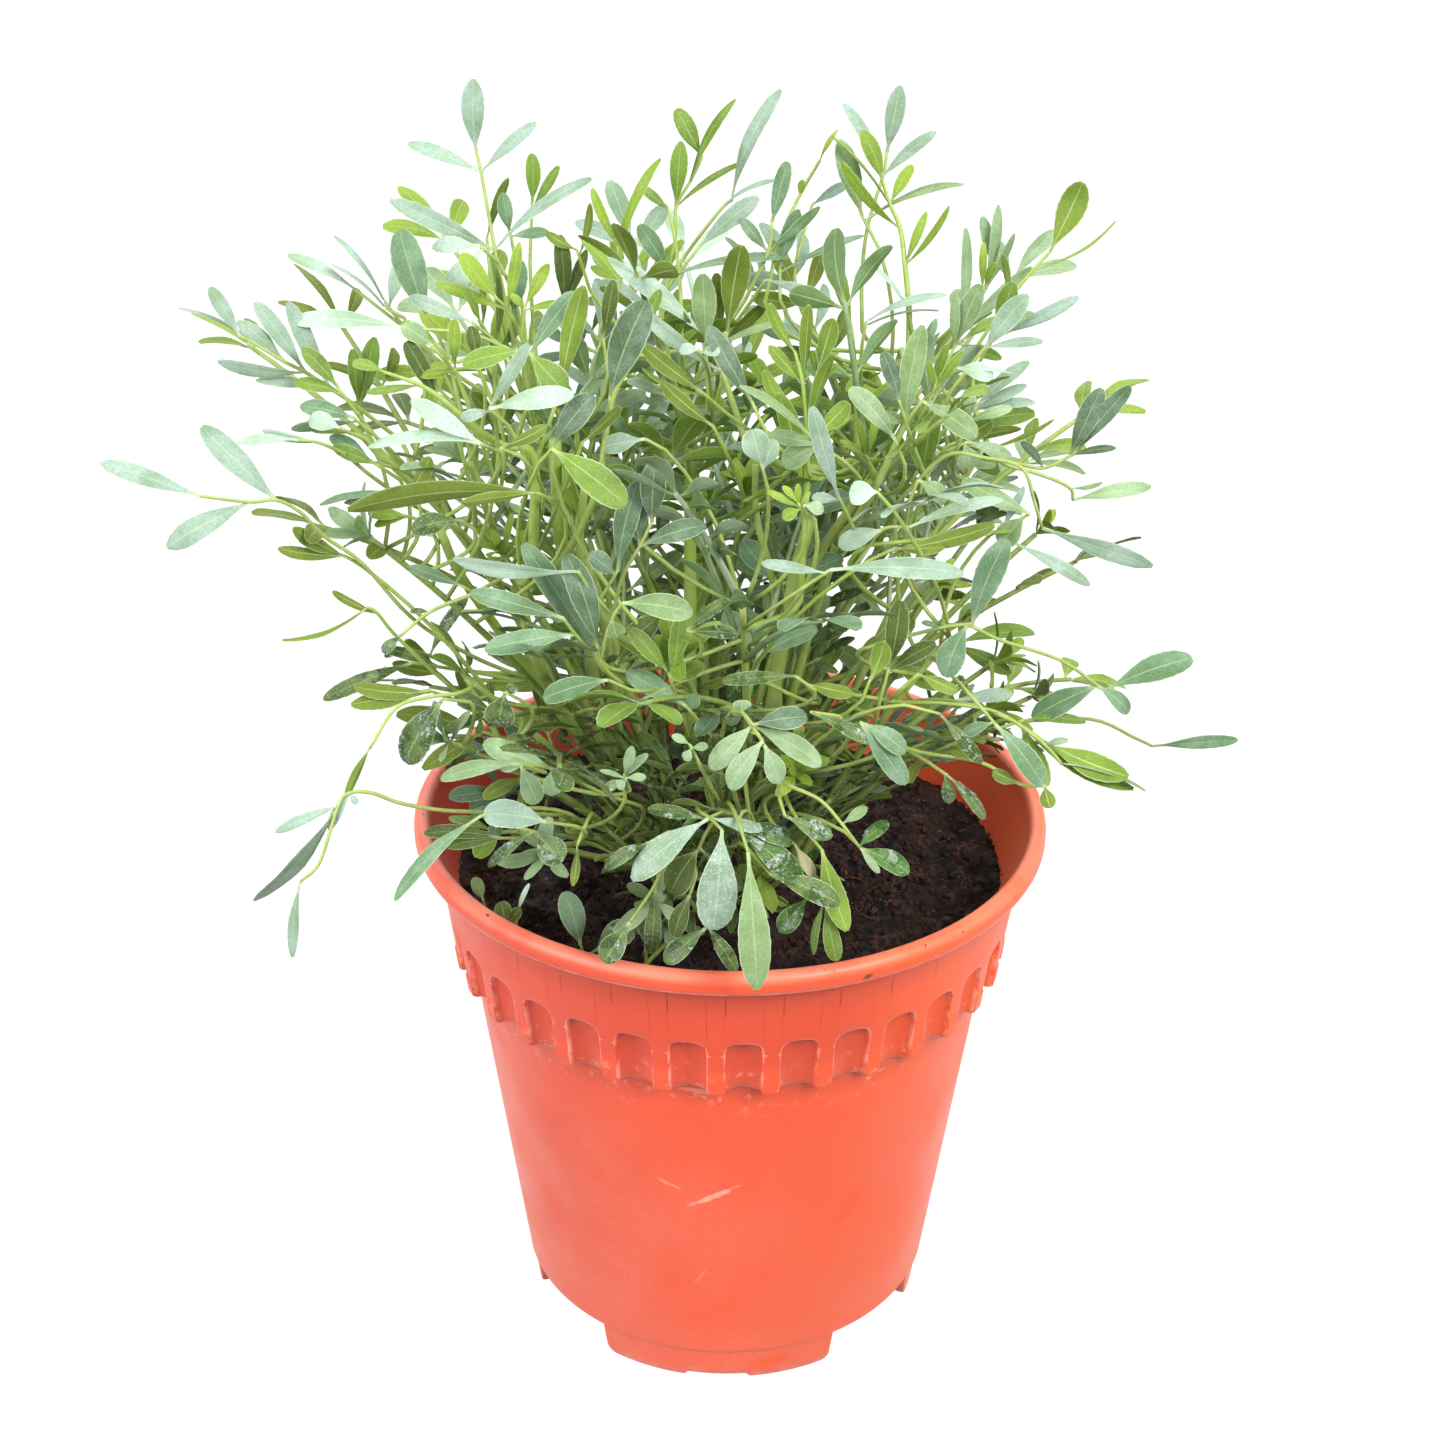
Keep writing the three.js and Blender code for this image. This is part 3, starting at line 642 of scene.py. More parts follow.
def soilHeight(x, y):
    inside = max(0, 1 - math.hypot(x, y) / soil["rimRadius"])
    waves = math.sin(x * 0.21 + 1.3) * math.cos(y * 0.17) + 0.6 * math.sin(y * 0.37 - x * 0.11)
    level = soil["roughness"] * (waves * 0.5 * min(1, inside * 4) + inside * 0.6)
    lump = noise.noise(Vector((x, y, 3.7)) / soil["lumpSize"])
    grain = noise.noise(Vector((x, y, 9.1)) / soil["grainSize"])
    fade = min(1, inside * 12)
    return soil["top"] + level + fade * (soil["lumpHeight"] * lump + soil["grainHeight"] * grain)


def makeSoil(finish, crumbFinish, fibreFinish):
    points = [(0, 0, soilHeight(0, 0))]
    faces = []
    sides = soil["sides"]
    for ring in range(1, soil["rings"] + 1):
        radius = soil["rimRadius"] * ring / soil["rings"]
        for k in range(sides):
            turn = k / sides * math.tau
            x, y = radius * math.cos(turn), radius * math.sin(turn)
            points.append((x, y, soilHeight(x, y)))
    for z, radius in (soil["waist"], (soil["bottom"], soil["bottomRadius"])):
        for k in range(sides):
            turn = k / sides * math.tau
            points.append((radius * math.cos(turn), radius * math.sin(turn), z))
    for ring in range(soil["rings"] + 2):
        for k in range(sides):
            ahead = (k + 1) % sides
            if ring == 0:
                faces.append((0, 1 + k, 1 + ahead))
            else:
                inner = 1 + (ring - 1) * sides
                faces.append((inner + k, inner + sides + k, inner + sides + ahead, inner + ahead))
    last = 1 + (soil["rings"] + 1) * sides
    faces.append(tuple(last + k for k in reversed(range(sides))))
    piece = makePiece("pottingSoil", points, faces, [finish, crumbFinish, fibreFinish])
    scatterOver(piece, "soilCrumbs", crumbTree(crumbFinish, fibreFinish))
    return piece


# Geometry Nodes: a tree with named sizes, run once and left as a plain mesh
def newTree(name, sizes):
    tree = bpy.data.node_groups.new(name, "GeometryNodeTree")
    tree.interface.new_socket("Geometry", in_out="INPUT", socket_type="NodeSocketGeometry")
    for key, value in sizes.items():
        kind = "NodeSocketInt" if isinstance(value, int) else "NodeSocketFloat"
        tree.interface.new_socket(key, in_out="INPUT", socket_type=kind).default_value = value
    tree.interface.new_socket("Geometry", in_out="OUTPUT", socket_type="NodeSocketGeometry")
    return tree, tree.nodes.new("NodeGroupInput"), tree.nodes.new("NodeGroupOutput"), sizes


def node(tree, kind, inputs=None, **settings):
    made = tree.nodes.new(kind)
    for key, value in settings.items():
        setattr(made, key, value)
    for key, value in (inputs or {}).items():
        feed(tree, made.inputs[key], value)
    return made


def scatterOver(piece, label, built):
    # runs a tree on a piece and keeps the result as the piece's own mesh
    tree, sizes = built
    modifier = piece.modifiers.new(label, "NODES")
    modifier.node_group = tree
    for item in tree.interface.items_tree:
        if item.in_out == "INPUT" and item.name in sizes:
            modifier[item.identifier] = sizes[item.name]
    bpy.context.view_layer.update()
    shown = piece.evaluated_get(bpy.context.evaluated_depsgraph_get())
    plain = bpy.data.meshes.new_from_object(shown)
    old = piece.data
    piece.modifiers.remove(modifier)
    piece.data = plain
    bpy.data.meshes.remove(old)
    plain.name = piece.name


def randomOf(tree, low, high, seed):
    # a random number, or a random turn where low and high are vectors
    isTurn = isinstance(low, tuple)
    first = 0 if isTurn else 2  # the sockets for vectors come before the ones for numbers
    kind = "FLOAT_VECTOR" if isTurn else "FLOAT"
    made = node(tree, "FunctionNodeRandomValue", {first: low, first + 1: high, "Seed": seed}, data_type=kind)
    return made.outputs[0 if isTurn else 1]


def scaledBy(tree, vector, factor):
    return node(tree, "ShaderNodeVectorMath", {0: vector, "Scale": factor}, operation="SCALE").outputs[0]


def whereOver(tree, value, limit):
    return node(tree, "FunctionNodeCompare", {0: value, 1: limit}, operation="GREATER_THAN").outputs[0]


def scattered(tree, ground, chosen, density, seed, shape, turn, size, finish):
    # copies of a shape over the chosen faces, made real, each turned as given or as its face is
    spots = node(tree, "GeometryNodeDistributePointsOnFaces", {
        "Mesh": ground, "Selection": chosen, "Density": density, "Seed": seed})
    copies = node(tree, "GeometryNodeInstanceOnPoints", {
        "Points": spots.outputs["Points"], "Instance": shape,
        "Rotation": spots.outputs["Rotation"] if turn is None else turn, "Scale": size})
    real = node(tree, "GeometryNodeRealizeInstances", {"Geometry": copies.outputs["Instances"]})
    dressed = node(tree, "GeometryNodeSetMaterial", {
        "Geometry": real.outputs["Geometry"], "Material": finish})
    return dressed.outputs[0]


def joinInto(tree, result, parts):
    joined = node(tree, "GeometryNodeJoinGeometry")
    for part in parts:
        tree.links.new(part, joined.inputs[0])
    tree.links.new(joined.outputs[0], result.inputs["Geometry"])


def crumbTree(crumbFinish, fibreFinish):
    tree, given, result, sizes = newTree("soilScatter", {
        "Crumb density": soil["crumbs"] / mm ** 2,
        "Crumb smallest": soil["crumbSize"][0] * mm,
        "Crumb largest": soil["crumbSize"][1] * mm,
        "Fibre density": soil["fibres"] / mm ** 2,
        "Fibre length": soil["fibreLength"] * mm,
        "Fibre thickness": soil["fibreThickness"] * mm,
        "Seed": 7,
    })
    size = given.outputs
    ground = size["Geometry"]
    normal = node(tree, "GeometryNodeInputNormal").outputs["Normal"]
    upward = node(tree, "ShaderNodeSeparateXYZ", {0: normal}).outputs["Z"]
    onTop = whereOver(tree, upward, soil["facingUp"])
    # crumbs: small crumpled balls
    ball = node(tree, "GeometryNodeMeshIcoSphere", {"Radius": 1.0, "Subdivisions": 1}).outputs["Mesh"]
    noiseColour = node(tree, "ShaderNodeTexNoise", {"Scale": 1.9, "Detail": 2.0}).outputs["Color"]
    push = node(tree, "ShaderNodeVectorMath", {0: noiseColour, 1: (0.5, 0.5, 0.5)}, operation="SUBTRACT")
    lump = node(tree, "GeometryNodeSetPosition", {
        "Geometry": ball, "Offset": scaledBy(tree, push.outputs[0], soil["crumple"])}).outputs["Geometry"]
    full = soil["fullTurn"]
    anyTurn = randomOf(tree, (0.0, 0.0, 0.0), (full, full, full), 3)
    across = randomOf(tree, size["Crumb smallest"], size["Crumb largest"], 5)
    crumbs = scattered(tree, ground, onTop, size["Crumb density"], size["Seed"], lump, anyTurn, across,
                       crumbFinish)
    # fibres: thin bent strands that lie nearly flat
    half = times(tree, size["Fibre length"], 0.5)
    sag = times(tree, half, soil["fibreSag"])
    spots = ({"X": half}, {"Y": sag, "Z": sag}, {"X": times(tree, half, -1.0)})
    start, middle, end = (node(tree, "ShaderNodeCombineXYZ", spot).outputs[0] for spot in spots)
    arc = node(tree, "GeometryNodeCurveQuadraticBezier", {
        "Resolution": 4, "Start": start, "Middle": middle, "End": end})
    section = node(tree, "GeometryNodeCurvePrimitiveCircle", {
        "Resolution": 4, "Radius": size["Fibre thickness"]})
    strand = node(tree, "GeometryNodeCurveToMesh", {
        "Curve": arc.outputs[0], "Profile Curve": section.outputs[0], "Fill Caps": True}).outputs[0]
    tilt = soil["fibreTilt"]
    lying = randomOf(tree, (-tilt, -tilt, 0.0), (tilt, tilt, full), 23)
    stretch = randomOf(tree, *soil["fibreStretch"], 29)
    fibres = scattered(tree, ground, onTop, size["Fibre density"], 19, strand, lying, stretch, fibreFinish)
    joinInto(tree, result, (fibres, crumbs, ground))
    return tree, sizes


# Water drops on the wet leaves
water = {
    "drops": 0.1,  # a square millimetre of wet leaf
    "smallest": 0.14,
    "largest": 0.5,
    "flatness": 0.6,
    "wetOver": 0.5,  # a leaf wetter than this has drops
    "colours": {"clear": (196, 214, 200), "pale": (232, 240, 236)},
    "roughness": 0.04,
    "bending": 1.33,
    "clearness": 0.85,
}


def dropTree(waterFinish):
    tree, given, result, sizes = newTree("wetLeaves", {
        "Drop density": water["drops"] / mm ** 2,
        "Drop smallest": water["smallest"] * mm,
        "Drop largest": water["largest"] * mm,
        "Drop flatness": water["flatness"],
        "Seed": 13,
    })
    size = given.outputs
    leaves = size["Geometry"]
    wet = node(tree, "GeometryNodeInputNamedAttribute", {"Name": "leafWet"}, data_type="FLOAT").outputs[0]
    isWet = whereOver(tree, wet, water["wetOver"])
    ball = node(tree, "GeometryNodeMeshUVSphere", {"Segments": 8, "Rings": 4, "Radius": 1.0}).outputs["Mesh"]
    squash = node(tree, "ShaderNodeCombineXYZ", {"X": 1.0, "Y": 1.0, "Z": size["Drop flatness"]}).outputs[0]
    shape = scaledBy(tree, squash, randomOf(tree, size["Drop smallest"], size["Drop largest"], 17))
    drops = scattered(tree, leaves, isWet, size["Drop density"], size["Seed"], ball, None, shape, waterFinish)
    joinInto(tree, result, (drops, leaves))
    return tree, sizes


# Plastic: its colours, the heights and places across between which its marks come and go, its
# patches, and the marks of use on its front by where they are across and up, their turn and size
plastic = {
    "colours": {
        # left, middle and right: the base colour with painted shade to the left and painted light to the
        # right
        "left": (222, 73, 42),
        "middle": (233, 80, 40),
        "right": (246, 91, 34),
        "dust": (243, 138, 110),
        # painted shade on the collar's front under the rim
        "collarShade": (200, 56, 26),
        # painted shade in the flute hollows, under the collar and under the bead
        "hollowShade": (188, 64, 38),
        "smudge": (238, 82, 4),
        "scratch": (255, 206, 186),
        "wornEdge": (255, 176, 152),
        "rubbed": (255, 176, 156),
        # dust and a painted highlight on the bead's crest
        "crestDustAndHighlight": (255, 178, 150),
        "speck": (84, 40, 28),
        "chip": (92, 40, 26),
    },
    "levels": {
        "dusty": (100, 60),
        "foot": (30, 0),
        "collar": (98, 110),
        "underRim": (128, 122),
        "underCollar": (86, 94),
        "collarFoot": (108, 100),
        "crestDustAndHighlight": (132.2, 134.2),
        "speckled": (122, 126),
    },
    "across": {
        "shadedLeftToMiddle": (-30, 20),
        "middleToLitRight": (20, 70),
        "dusty": (40, -40),
        "shadedCollarBand": (50, 20),
    },
    "front": (-10, -30),  # marks show on the wall this far forward
    "patches": {
        "grit": dict(scale=620, low=0.3, high=0.72, start=0.5, detail=4, rough=0.8),
        "dust": dict(scale=30, low=0.3, high=0.72, start=0.04, end=0.34, detail=3, rough=0.5),
        "worn": dict(scale=260, low=0.36, high=0.62),
        "rubbed": dict(scale=380, low=0.56, high=0.68, start=0, end=0.4, detail=4, rough=0.7),
        "crestDustAndHighlight": dict(scale=70, low=0.3, high=0.6, start=0.12, end=0.3, detail=4),
        "specks": dict(scale=420, low=0.72, high=0.75, start=0, end=0.85, detail=2),
        "roughness": dict(scale=45, low=0.25, high=0.75, start=0.36, end=0.52, detail=4),
    },
    "hollowShadeShare": 0.4,
    "wearShare": 0.85,
    "chips": (
        {"middle": (29.9, 131.6), "turn": 20, "long": 3.2, "broad": 1.7, "rough": 0.6},
    ),
    "scratches": (
        {"middle": (-3.0, 63.0), "turn": 31, "long": 15, "broad": 1.9, "rough": 2.2, "share": 0.5},
        {"middle": (-14, 66.0), "turn": -24, "long": 10, "broad": 1.5, "rough": 3.4, "share": 0.24},
        {"middle": (-7, 96.0), "turn": -4, "long": 12, "broad": 1.6, "rough": 3, "share": 0.3},
        {"middle": (-6, 36.0), "turn": 60, "long": 8, "broad": 1.0, "rough": 3, "share": 0.1},
    ),
    "smudges": (
        {"middle": (28.4, 53.0), "turn": 62, "long": 16, "broad": 5, "rough": 1.2},
        {"middle": (11, 5.0), "turn": 8, "long": 13, "broad": 5, "rough": 1.2},
        {"middle": (-45.4, 22.0), "turn": -60, "long": 9, "broad": 3, "rough": 1.4},
    ),
}


def strokeMark(tree, place, stroke):
    # 1 along a short stroke on the pot's front, and 0 away from it
    parts = splitUp(tree, place)
    x = minus(tree, parts["X"], stroke["middle"][0] * mm)
    z = minus(tree, parts["Z"], stroke["middle"][1] * mm)
    c, s = math.cos(math.radians(stroke["turn"])), math.sin(math.radians(stroke["turn"]))
    on = plus(tree, times(tree, x, c), times(tree, z, s))
    off = minus(tree, times(tree, z, c), times(tree, x, s))
    on = reckon(tree, "DIVIDE", on, stroke["long"] / 2 * mm)
    off = reckon(tree, "DIVIDE", off, stroke["broad"] / 2 * mm)
    rough = times(tree, minus(tree, cloudy(tree, place, 330), 0.5), stroke["rough"])
    reach = plus(tree, times(tree, on, on), times(tree, off, off))
    near, far = plastic["front"]
    front = ranged(tree, parts["Y"], near * mm, far * mm)
    return times(tree, ranged(tree, plus(tree, reach, rough), 1.0, 0.0), front)


def makePlastic():
    material, tree, shader = newFinish("orangePlastic")
    paints = paintsOf(plastic)
    place = placeOf(tree)
    sides = splitUp(tree, place)
    patch = patchesOf(tree, place, plastic)

    def level(name, start=0.0, end=1.0):
        # from start to end between two heights
        low, high = plastic["levels"][name]
        return ranged(tree, sides["Z"], low * mm, high * mm, start, end)

    def across(name, value, start=0.0, end=1.0):
        left, right = plastic["across"][name]
        return ranged(tree, value, left * mm, right * mm, start, end)

    def stroked(colour, strokes, name):
        for stroke in plastic[strokes]:
            share = times(tree, strokeMark(tree, place, stroke), stroke.get("share", plastic["wearShare"]))
            colour = mixed(tree, share, colour, paints[name])
        return colour

    # painted light and shade: the base colour darker to the left and lighter to the right
    paintedLightAcross = plus(tree, sides["X"], times(tree, cloudy(tree, place, 22, 2), 0.03))
    colour = mixed(tree, across("shadedLeftToMiddle", paintedLightAcross), paints["left"], paints["middle"])
    colour = mixed(tree, across("middleToLitRight", paintedLightAcross), colour, paints["right"])
    # a fine grain of dust in broad, soft patches, more of it to the left and low down
    grit = patch("grit")
    dust = times(tree, grit, patch("dust"))
    dust = times(tree, dust, level("dusty", 0.2, 1.0))
    dust = times(tree, dust, across("dusty", sides["X"], 0.25, 1.3))
    dust = plus(tree, dust, times(tree, level("foot", 0, 0.2), grit))
    colour = mixed(tree, dust, colour, paints["dust"])
    # painted shade: a darker band on the collar's front under the rim, and darker flute hollows
    shadedCollarBand = times(tree, level("collar"), level("underRim", 0, 0.45))
    shadedCollarBand = times(tree, shadedCollarBand, across("shadedCollarBand", reckon(tree, "ABSOLUTE", sides["X"])))
    colour = mixed(tree, shadedCollarBand, colour, paints["collarShade"])
    hollowShade = times(tree, markOf(tree, "fluteFloor"), plastic["hollowShadeShare"])
    colour = mixed(tree, hollowShade, colour, paints["hollowShade"])
    # marks of use: smudges, scratches, pale worn edges and a few dark specks
    colour = stroked(colour, "smudges", "smudge")
    colour = stroked(colour, "scratches", "scratch")
    wear = times(tree, markOf(tree, "edgeWear"), patch("worn"))
    colour = mixed(tree, times(tree, wear, plastic["wearShare"]), colour, paints["wornEdge"])
    rubbed = times(tree, level("underCollar"), level("collarFoot"))
    rubbed = times(tree, patch("rubbed"), rubbed)
    colour = mixed(tree, rubbed, colour, paints["rubbed"])
    # the bead's crest: paler with dust and a painted highlight
    crestDustAndHighlight = times(tree, level("crestDustAndHighlight"), patch("crestDustAndHighlight"))
    colour = mixed(tree, crestDustAndHighlight, colour, paints["crestDustAndHighlight"])
    specks = times(tree, patch("specks"), level("speckled"))
    colour = mixed(tree, specks, colour, paints["speck"])
    for stroke in plastic["chips"]:
        colour = mixed(tree, strokeMark(tree, place, stroke), colour, paints["chip"])
    tree.links.new(colour, shader.inputs["Base Color"])
    tree.links.new(patch("roughness"), shader.inputs["Roughness"])
    bumped(tree, shader, cloudy(tree, place, 900), 0.1, 0.0004)
    shader.inputs["Subsurface Weight"].default_value = 0.05
    shader.inputs["Subsurface Radius"].default_value = (0.004, 0.0015, 0.001)
    shader.inputs["Sheen Weight"].default_value = 0.14
    shader.inputs["Sheen Roughness"].default_value = 0.5
    shader.inputs["Sheen Tint"].default_value = (1.0, 0.72, 0.6, 1.0)
    return material


# Peat: the darkest and palest colour of each of its finishes, and the scale of their patches
peats = {
    "darkPeat": {"darkest": (14, 12, 13), "palest": (58, 38, 30), "scale": 100},
    "peatCrumb": {"darkest": (16, 14, 15), "palest": (84, 52, 40), "scale": 90},
    "coirFibre": {"darkest": (60, 34, 24), "palest": (108, 70, 50), "scale": 300},
}
peatLook = {
    "fleck": (150, 132, 118),
    "patches": {
        "brown": dict(low=0.36, high=0.68, detail=6, rough=0.75),
        "flecks": dict(scale=640, low=0.68, high=0.72, start=0, end=0.5, detail=2),
        "roughness": dict(scale=160, low=0.4, high=0.62, start=0.95, end=0.42),
    },
}


def makePeat(name):
    material, tree, shader = newFinish(name)
    place = placeOf(tree)
    look = peats[name]
    patch = patchesOf(tree, place, peatLook)
    colour = mixed(tree, patch("brown", scale=look["scale"]), srgb(*look["darkest"]), srgb(*look["palest"]))
    colour = mixed(tree, patch("flecks"), colour, srgb(*peatLook["fleck"]))
    tree.links.new(colour, shader.inputs["Base Color"])
    tree.links.new(patch("roughness"), shader.inputs["Roughness"])
    bumped(tree, shader, cloudy(tree, place, 1400, 5, 0.7), 0.8, 0.0008)
    shader.inputs["Specular IOR Level"].default_value = 0.3
    return material


# Leaf and stalk: the colours laid over a leaf's own green, its two faces and its patches
leafLook = {
    "colours": {
        "underside": (132, 156, 72),
        "bloom": (206, 222, 208),
        "shade": (188, 200, 164),
        "rib": (212, 224, 164),
        "rim": (214, 228, 190),
        "soaked": (150, 176, 132),
        "glint": (194, 210, 202),
        # painted highlights of fine water beads
        "beadHighlight": (222, 234, 226),
        "stalk": (194, 208, 124),
        "stalkStreak": (206, 218, 170),
        "stalkScar": (122, 134, 84),
        "stalkFoot": (140, 150, 88),
    },
    "upper": {"bloom": 0.34, "specks": 0.3, "rib": 0.42, "ribRise": 0.6, "matt": 0.58},
    "under": {"bloom": 0.08, "specks": 0.1, "rib": 0.7, "ribRise": -0.6, "matt": 0.66},
    "veins": 11.0,
    "veinSlant": 3.0,
    "patches": {
        "bloom": dict(scale=260, low=0.35, high=0.72, start=0, detail=4, rough=0.6),
        "mottling": dict(scale=90, low=0.42, high=0.68, start=0, end=0.75),
        "grain": dict(scale=1500, low=0.4, high=0.64, start=0, end=0.32, detail=3, rough=0.6),
        "specks": dict(scale=2200, low=0.62, high=0.72, start=0, detail=1),
        "film": dict(scale=190, low=0.42, high=0.56, detail=2),
        "glint": dict(scale=520, low=0.57, high=0.66, start=0, end=0.55, detail=3, rough=0.7),
        "beadHighlight": dict(scale=2300, low=0.58, high=0.68, start=0, end=0.5, detail=2),
        "streaks": dict(scale=420, low=0.35, high=0.7, start=0, end=0.5, detail=4, rough=0.6),
        "scars": dict(scale=130, low=0.52, high=0.68, start=0, end=0.35),
    },
    "stalkDarkens": (185, 125),  # between these heights
}


def leafPlaces(tree):
    # along the leaflet from 0 to 1, and away from its rib from 0 to 1
    uv = tree.nodes.new("ShaderNodeUVMap")
    uv.uv_map = "leafUv"
    parts = splitUp(tree, uv.outputs["UV"])
    side = reckon(tree, "ABSOLUTE", minus(tree, parts["Y"], 0.5))
    return parts["X"], times(tree, side, 2.0)


def makeLeafFace(name, side):
    material, tree, shader = newFinish(name)
    paints = paintsOf(leafLook)
    look = leafLook[side]
    place = placeOf(tree)
    patch = patchesOf(tree, place, leafLook)
    along, away = leafPlaces(tree)
    wet = markOf(tree, "leafWet")
    colour = markOf(tree, "leafColour", "Color")
    if side == "under":
        colour = mixed(tree, 0.35, colour, paints["underside"])
    pale = mixed(tree, 0.5, colour, paints["bloom"])
    shade = mixed(tree, 1.0, colour, paints["shade"], "MULTIPLY")
    rib = mixed(tree, 0.6, colour, paints["rib"])
    # bloom, most of it on the bluer leaves, and mottling
    own = splitUp(tree, colour)
    blueness = reckon(tree, "DIVIDE", own["Z"], own["Y"])
    bloom = patch("bloom", end=look["bloom"])
    bloom = times(tree, bloom, ranged(tree, blueness, 0.12, 0.55, 0.3, 1.0))
    colour = mixed(tree, bloom, colour, pale)
    colour = mixed(tree, patch("mottling"), colour, shade)
    colour = mixed(tree, patch("grain"), colour, shade)
    colour = mixed(tree, patch("specks", end=look["specks"]), colour, pale)
    # side veins, the rib, the thin pale rim and the pale foot
    slant = minus(tree, times(tree, along, leafLook["veins"]), times(tree, away, leafLook["veinSlant"]))
    wave = reckon(tree, "SINE", times(tree, slant, math.tau))
    vein = times(tree, ranged(tree, wave, 0.8, 1.0, 0, 0.1), ranged(tree, away, 0.95, 0.6))
    colour = mixed(tree, vein, colour, rib)
    thin = minus(tree, 0.15, times(tree, along, 0.1))
    ribShare = ranged(tree, reckon(tree, "DIVIDE", away, thin), 0.8, 0.35, 0, look["rib"])
    colour = mixed(tree, ribShare, colour, rib)
    rim = mixed(tree, 0.5, colour, paints["rim"])
    colour = mixed(tree, ranged(tree, away, 0.89, 0.98, 0, 0.9), colour, rim)
    colour = mixed(tree, ranged(tree, along, 0.2, 0.0, 0, 0.8), colour, rib)
    # a film of water with painted glints on the wet leaves, and painted highlights of fine water beads on the
    # frosted ones
    film = times(tree, wet, patch("film"))
    soaked = mixed(tree, 1.0, colour, paints["soaked"], "MULTIPLY")
    colour = mixed(tree, times(tree, film, 0.8), colour, soaked)
    # painted glints: pale patches for light reflected off the water film
    colour = mixed(tree, times(tree, film, patch("glint")), colour, paints["glint"])
    # painted highlights: fine pale specks for light off small water beads
    beadHighlight = times(tree, ranged(tree, wet, 0.1, 0.3), patch("beadHighlight"))
    beadHighlight = times(tree, beadHighlight, ranged(tree, wet, 0.5, 0.9, 1.0, 0.35))
    colour = mixed(tree, beadHighlight, colour, paints["beadHighlight"])
    tree.links.new(colour, shader.inputs["Base Color"])
    tree.links.new(ranged(tree, film, 0.0, 1.0, look["matt"], 0.16), shader.inputs["Roughness"])
    height = plus(tree, times(tree, ribShare, look["ribRise"]), times(tree, cloudy(tree, place, 800), 0.5))
    beads = times(tree, film, times(tree, cloudy(tree, place, 430, 2), 2.4))
    bumped(tree, shader, plus(tree, height, beads), 0.35, 0.0003)
    shader.inputs["Specular IOR Level"].default_value = 0.28
    return material


def makeStalkFinish():
    material, tree, shader = newFinish("greenStalk")
    paints = paintsOf(leafLook)
    place = placeOf(tree)
    patch = patchesOf(tree, place, leafLook)
    colour = mixed(tree, 0.15, markOf(tree, "leafColour", "Color"), paints["stalk"])
    colour = mixed(tree, patch("streaks"), colour, mixed(tree, 0.5, colour, paints["stalkStreak"]))
    colour = mixed(tree, patch("scars"), colour, paints["stalkScar"])
    high, foot = leafLook["stalkDarkens"]
    low = ranged(tree, splitUp(tree, place)["Z"], high * mm, foot * mm, 0, 0.55)
    colour = mixed(tree, low, colour, mixed(tree, 1.0, colour, paints["stalkFoot"], "MULTIPLY"))
    tree.links.new(colour, shader.inputs["Base Color"])
    shader.inputs["Roughness"].default_value = 0.55
    bumped(tree, shader, cloudy(tree, place, 700), 0.2, 0.0003)
    return material


def makeWater():
    material, tree, shader = newFinish("waterDrop")
    paints = paintsOf(water)
    colour = mixed(tree, cloudy(tree, placeOf(tree), 300, 2), paints["clear"], paints["pale"])
    tree.links.new(colour, shader.inputs["Base Color"])
    shader.inputs["Roughness"].default_value = water["roughness"]
    shader.inputs["IOR"].default_value = water["bending"]
    shader.inputs["Transmission Weight"].default_value = water["clearness"]
    return material


# Plant: the rule that places the frame's leaves, kept the same so that each stays in its place
plant = {
    "bladeStalk": 1.3,
    "stemStraight": 2.4,
    "stemTipRadius": 0.95,
    "stemBow": 0.38,
    "sideShare": 0.86,
    "sideAngle": 54,
    "firstPairShare": 0.92,
    "pairSpacing": 0.92,
    "clearance": 0.7,
    "tries": 40,
    "turnPerLeaf": 137.5,
    "firstTurn": 40,
    "drawnFrom": 0.3,  # where along a stem the drawn leaves begin, how far they go, how loosely
    "drawnSpan": 0.62,
    "drawnSlack": 0.08,
    "turnSlack": 1.6,
    "climb": 16,  # degrees, and more up the stem
    "climbMore": 40,
    "climbSlack": 40,
    "drawnLength": (52, 76),
    "drawnBlade": (14, 18),
    "nudge": 0.35,  # how far a try moves a leaf's tip, and how far it rolls it
    "nudgeRoll": 12,
    "mostRoll": 70,
    "rimGuard": 3.4,
    "rootGuard": 6,
}


def stemRow(name, root, tip, radius, extra, leaves):
    # a stem by where it leaves the soil and ends, with extra leaves drawn by rule. A leaf's row is
    # its share of the way up the stem, its tip, its pairs of leaflets, their length, their width
    # over that, the leaf's arch and its bare stalk.
    fields = ("on", "tip", "pairs", "blade", "broad", "rise", "neck")
    rows = [dict(zip(fields, leaf)) for leaf in leaves]
    return {"name": name, "root": root, "tip": tip, "radius": radius, "extra": extra, "leaves": rows}


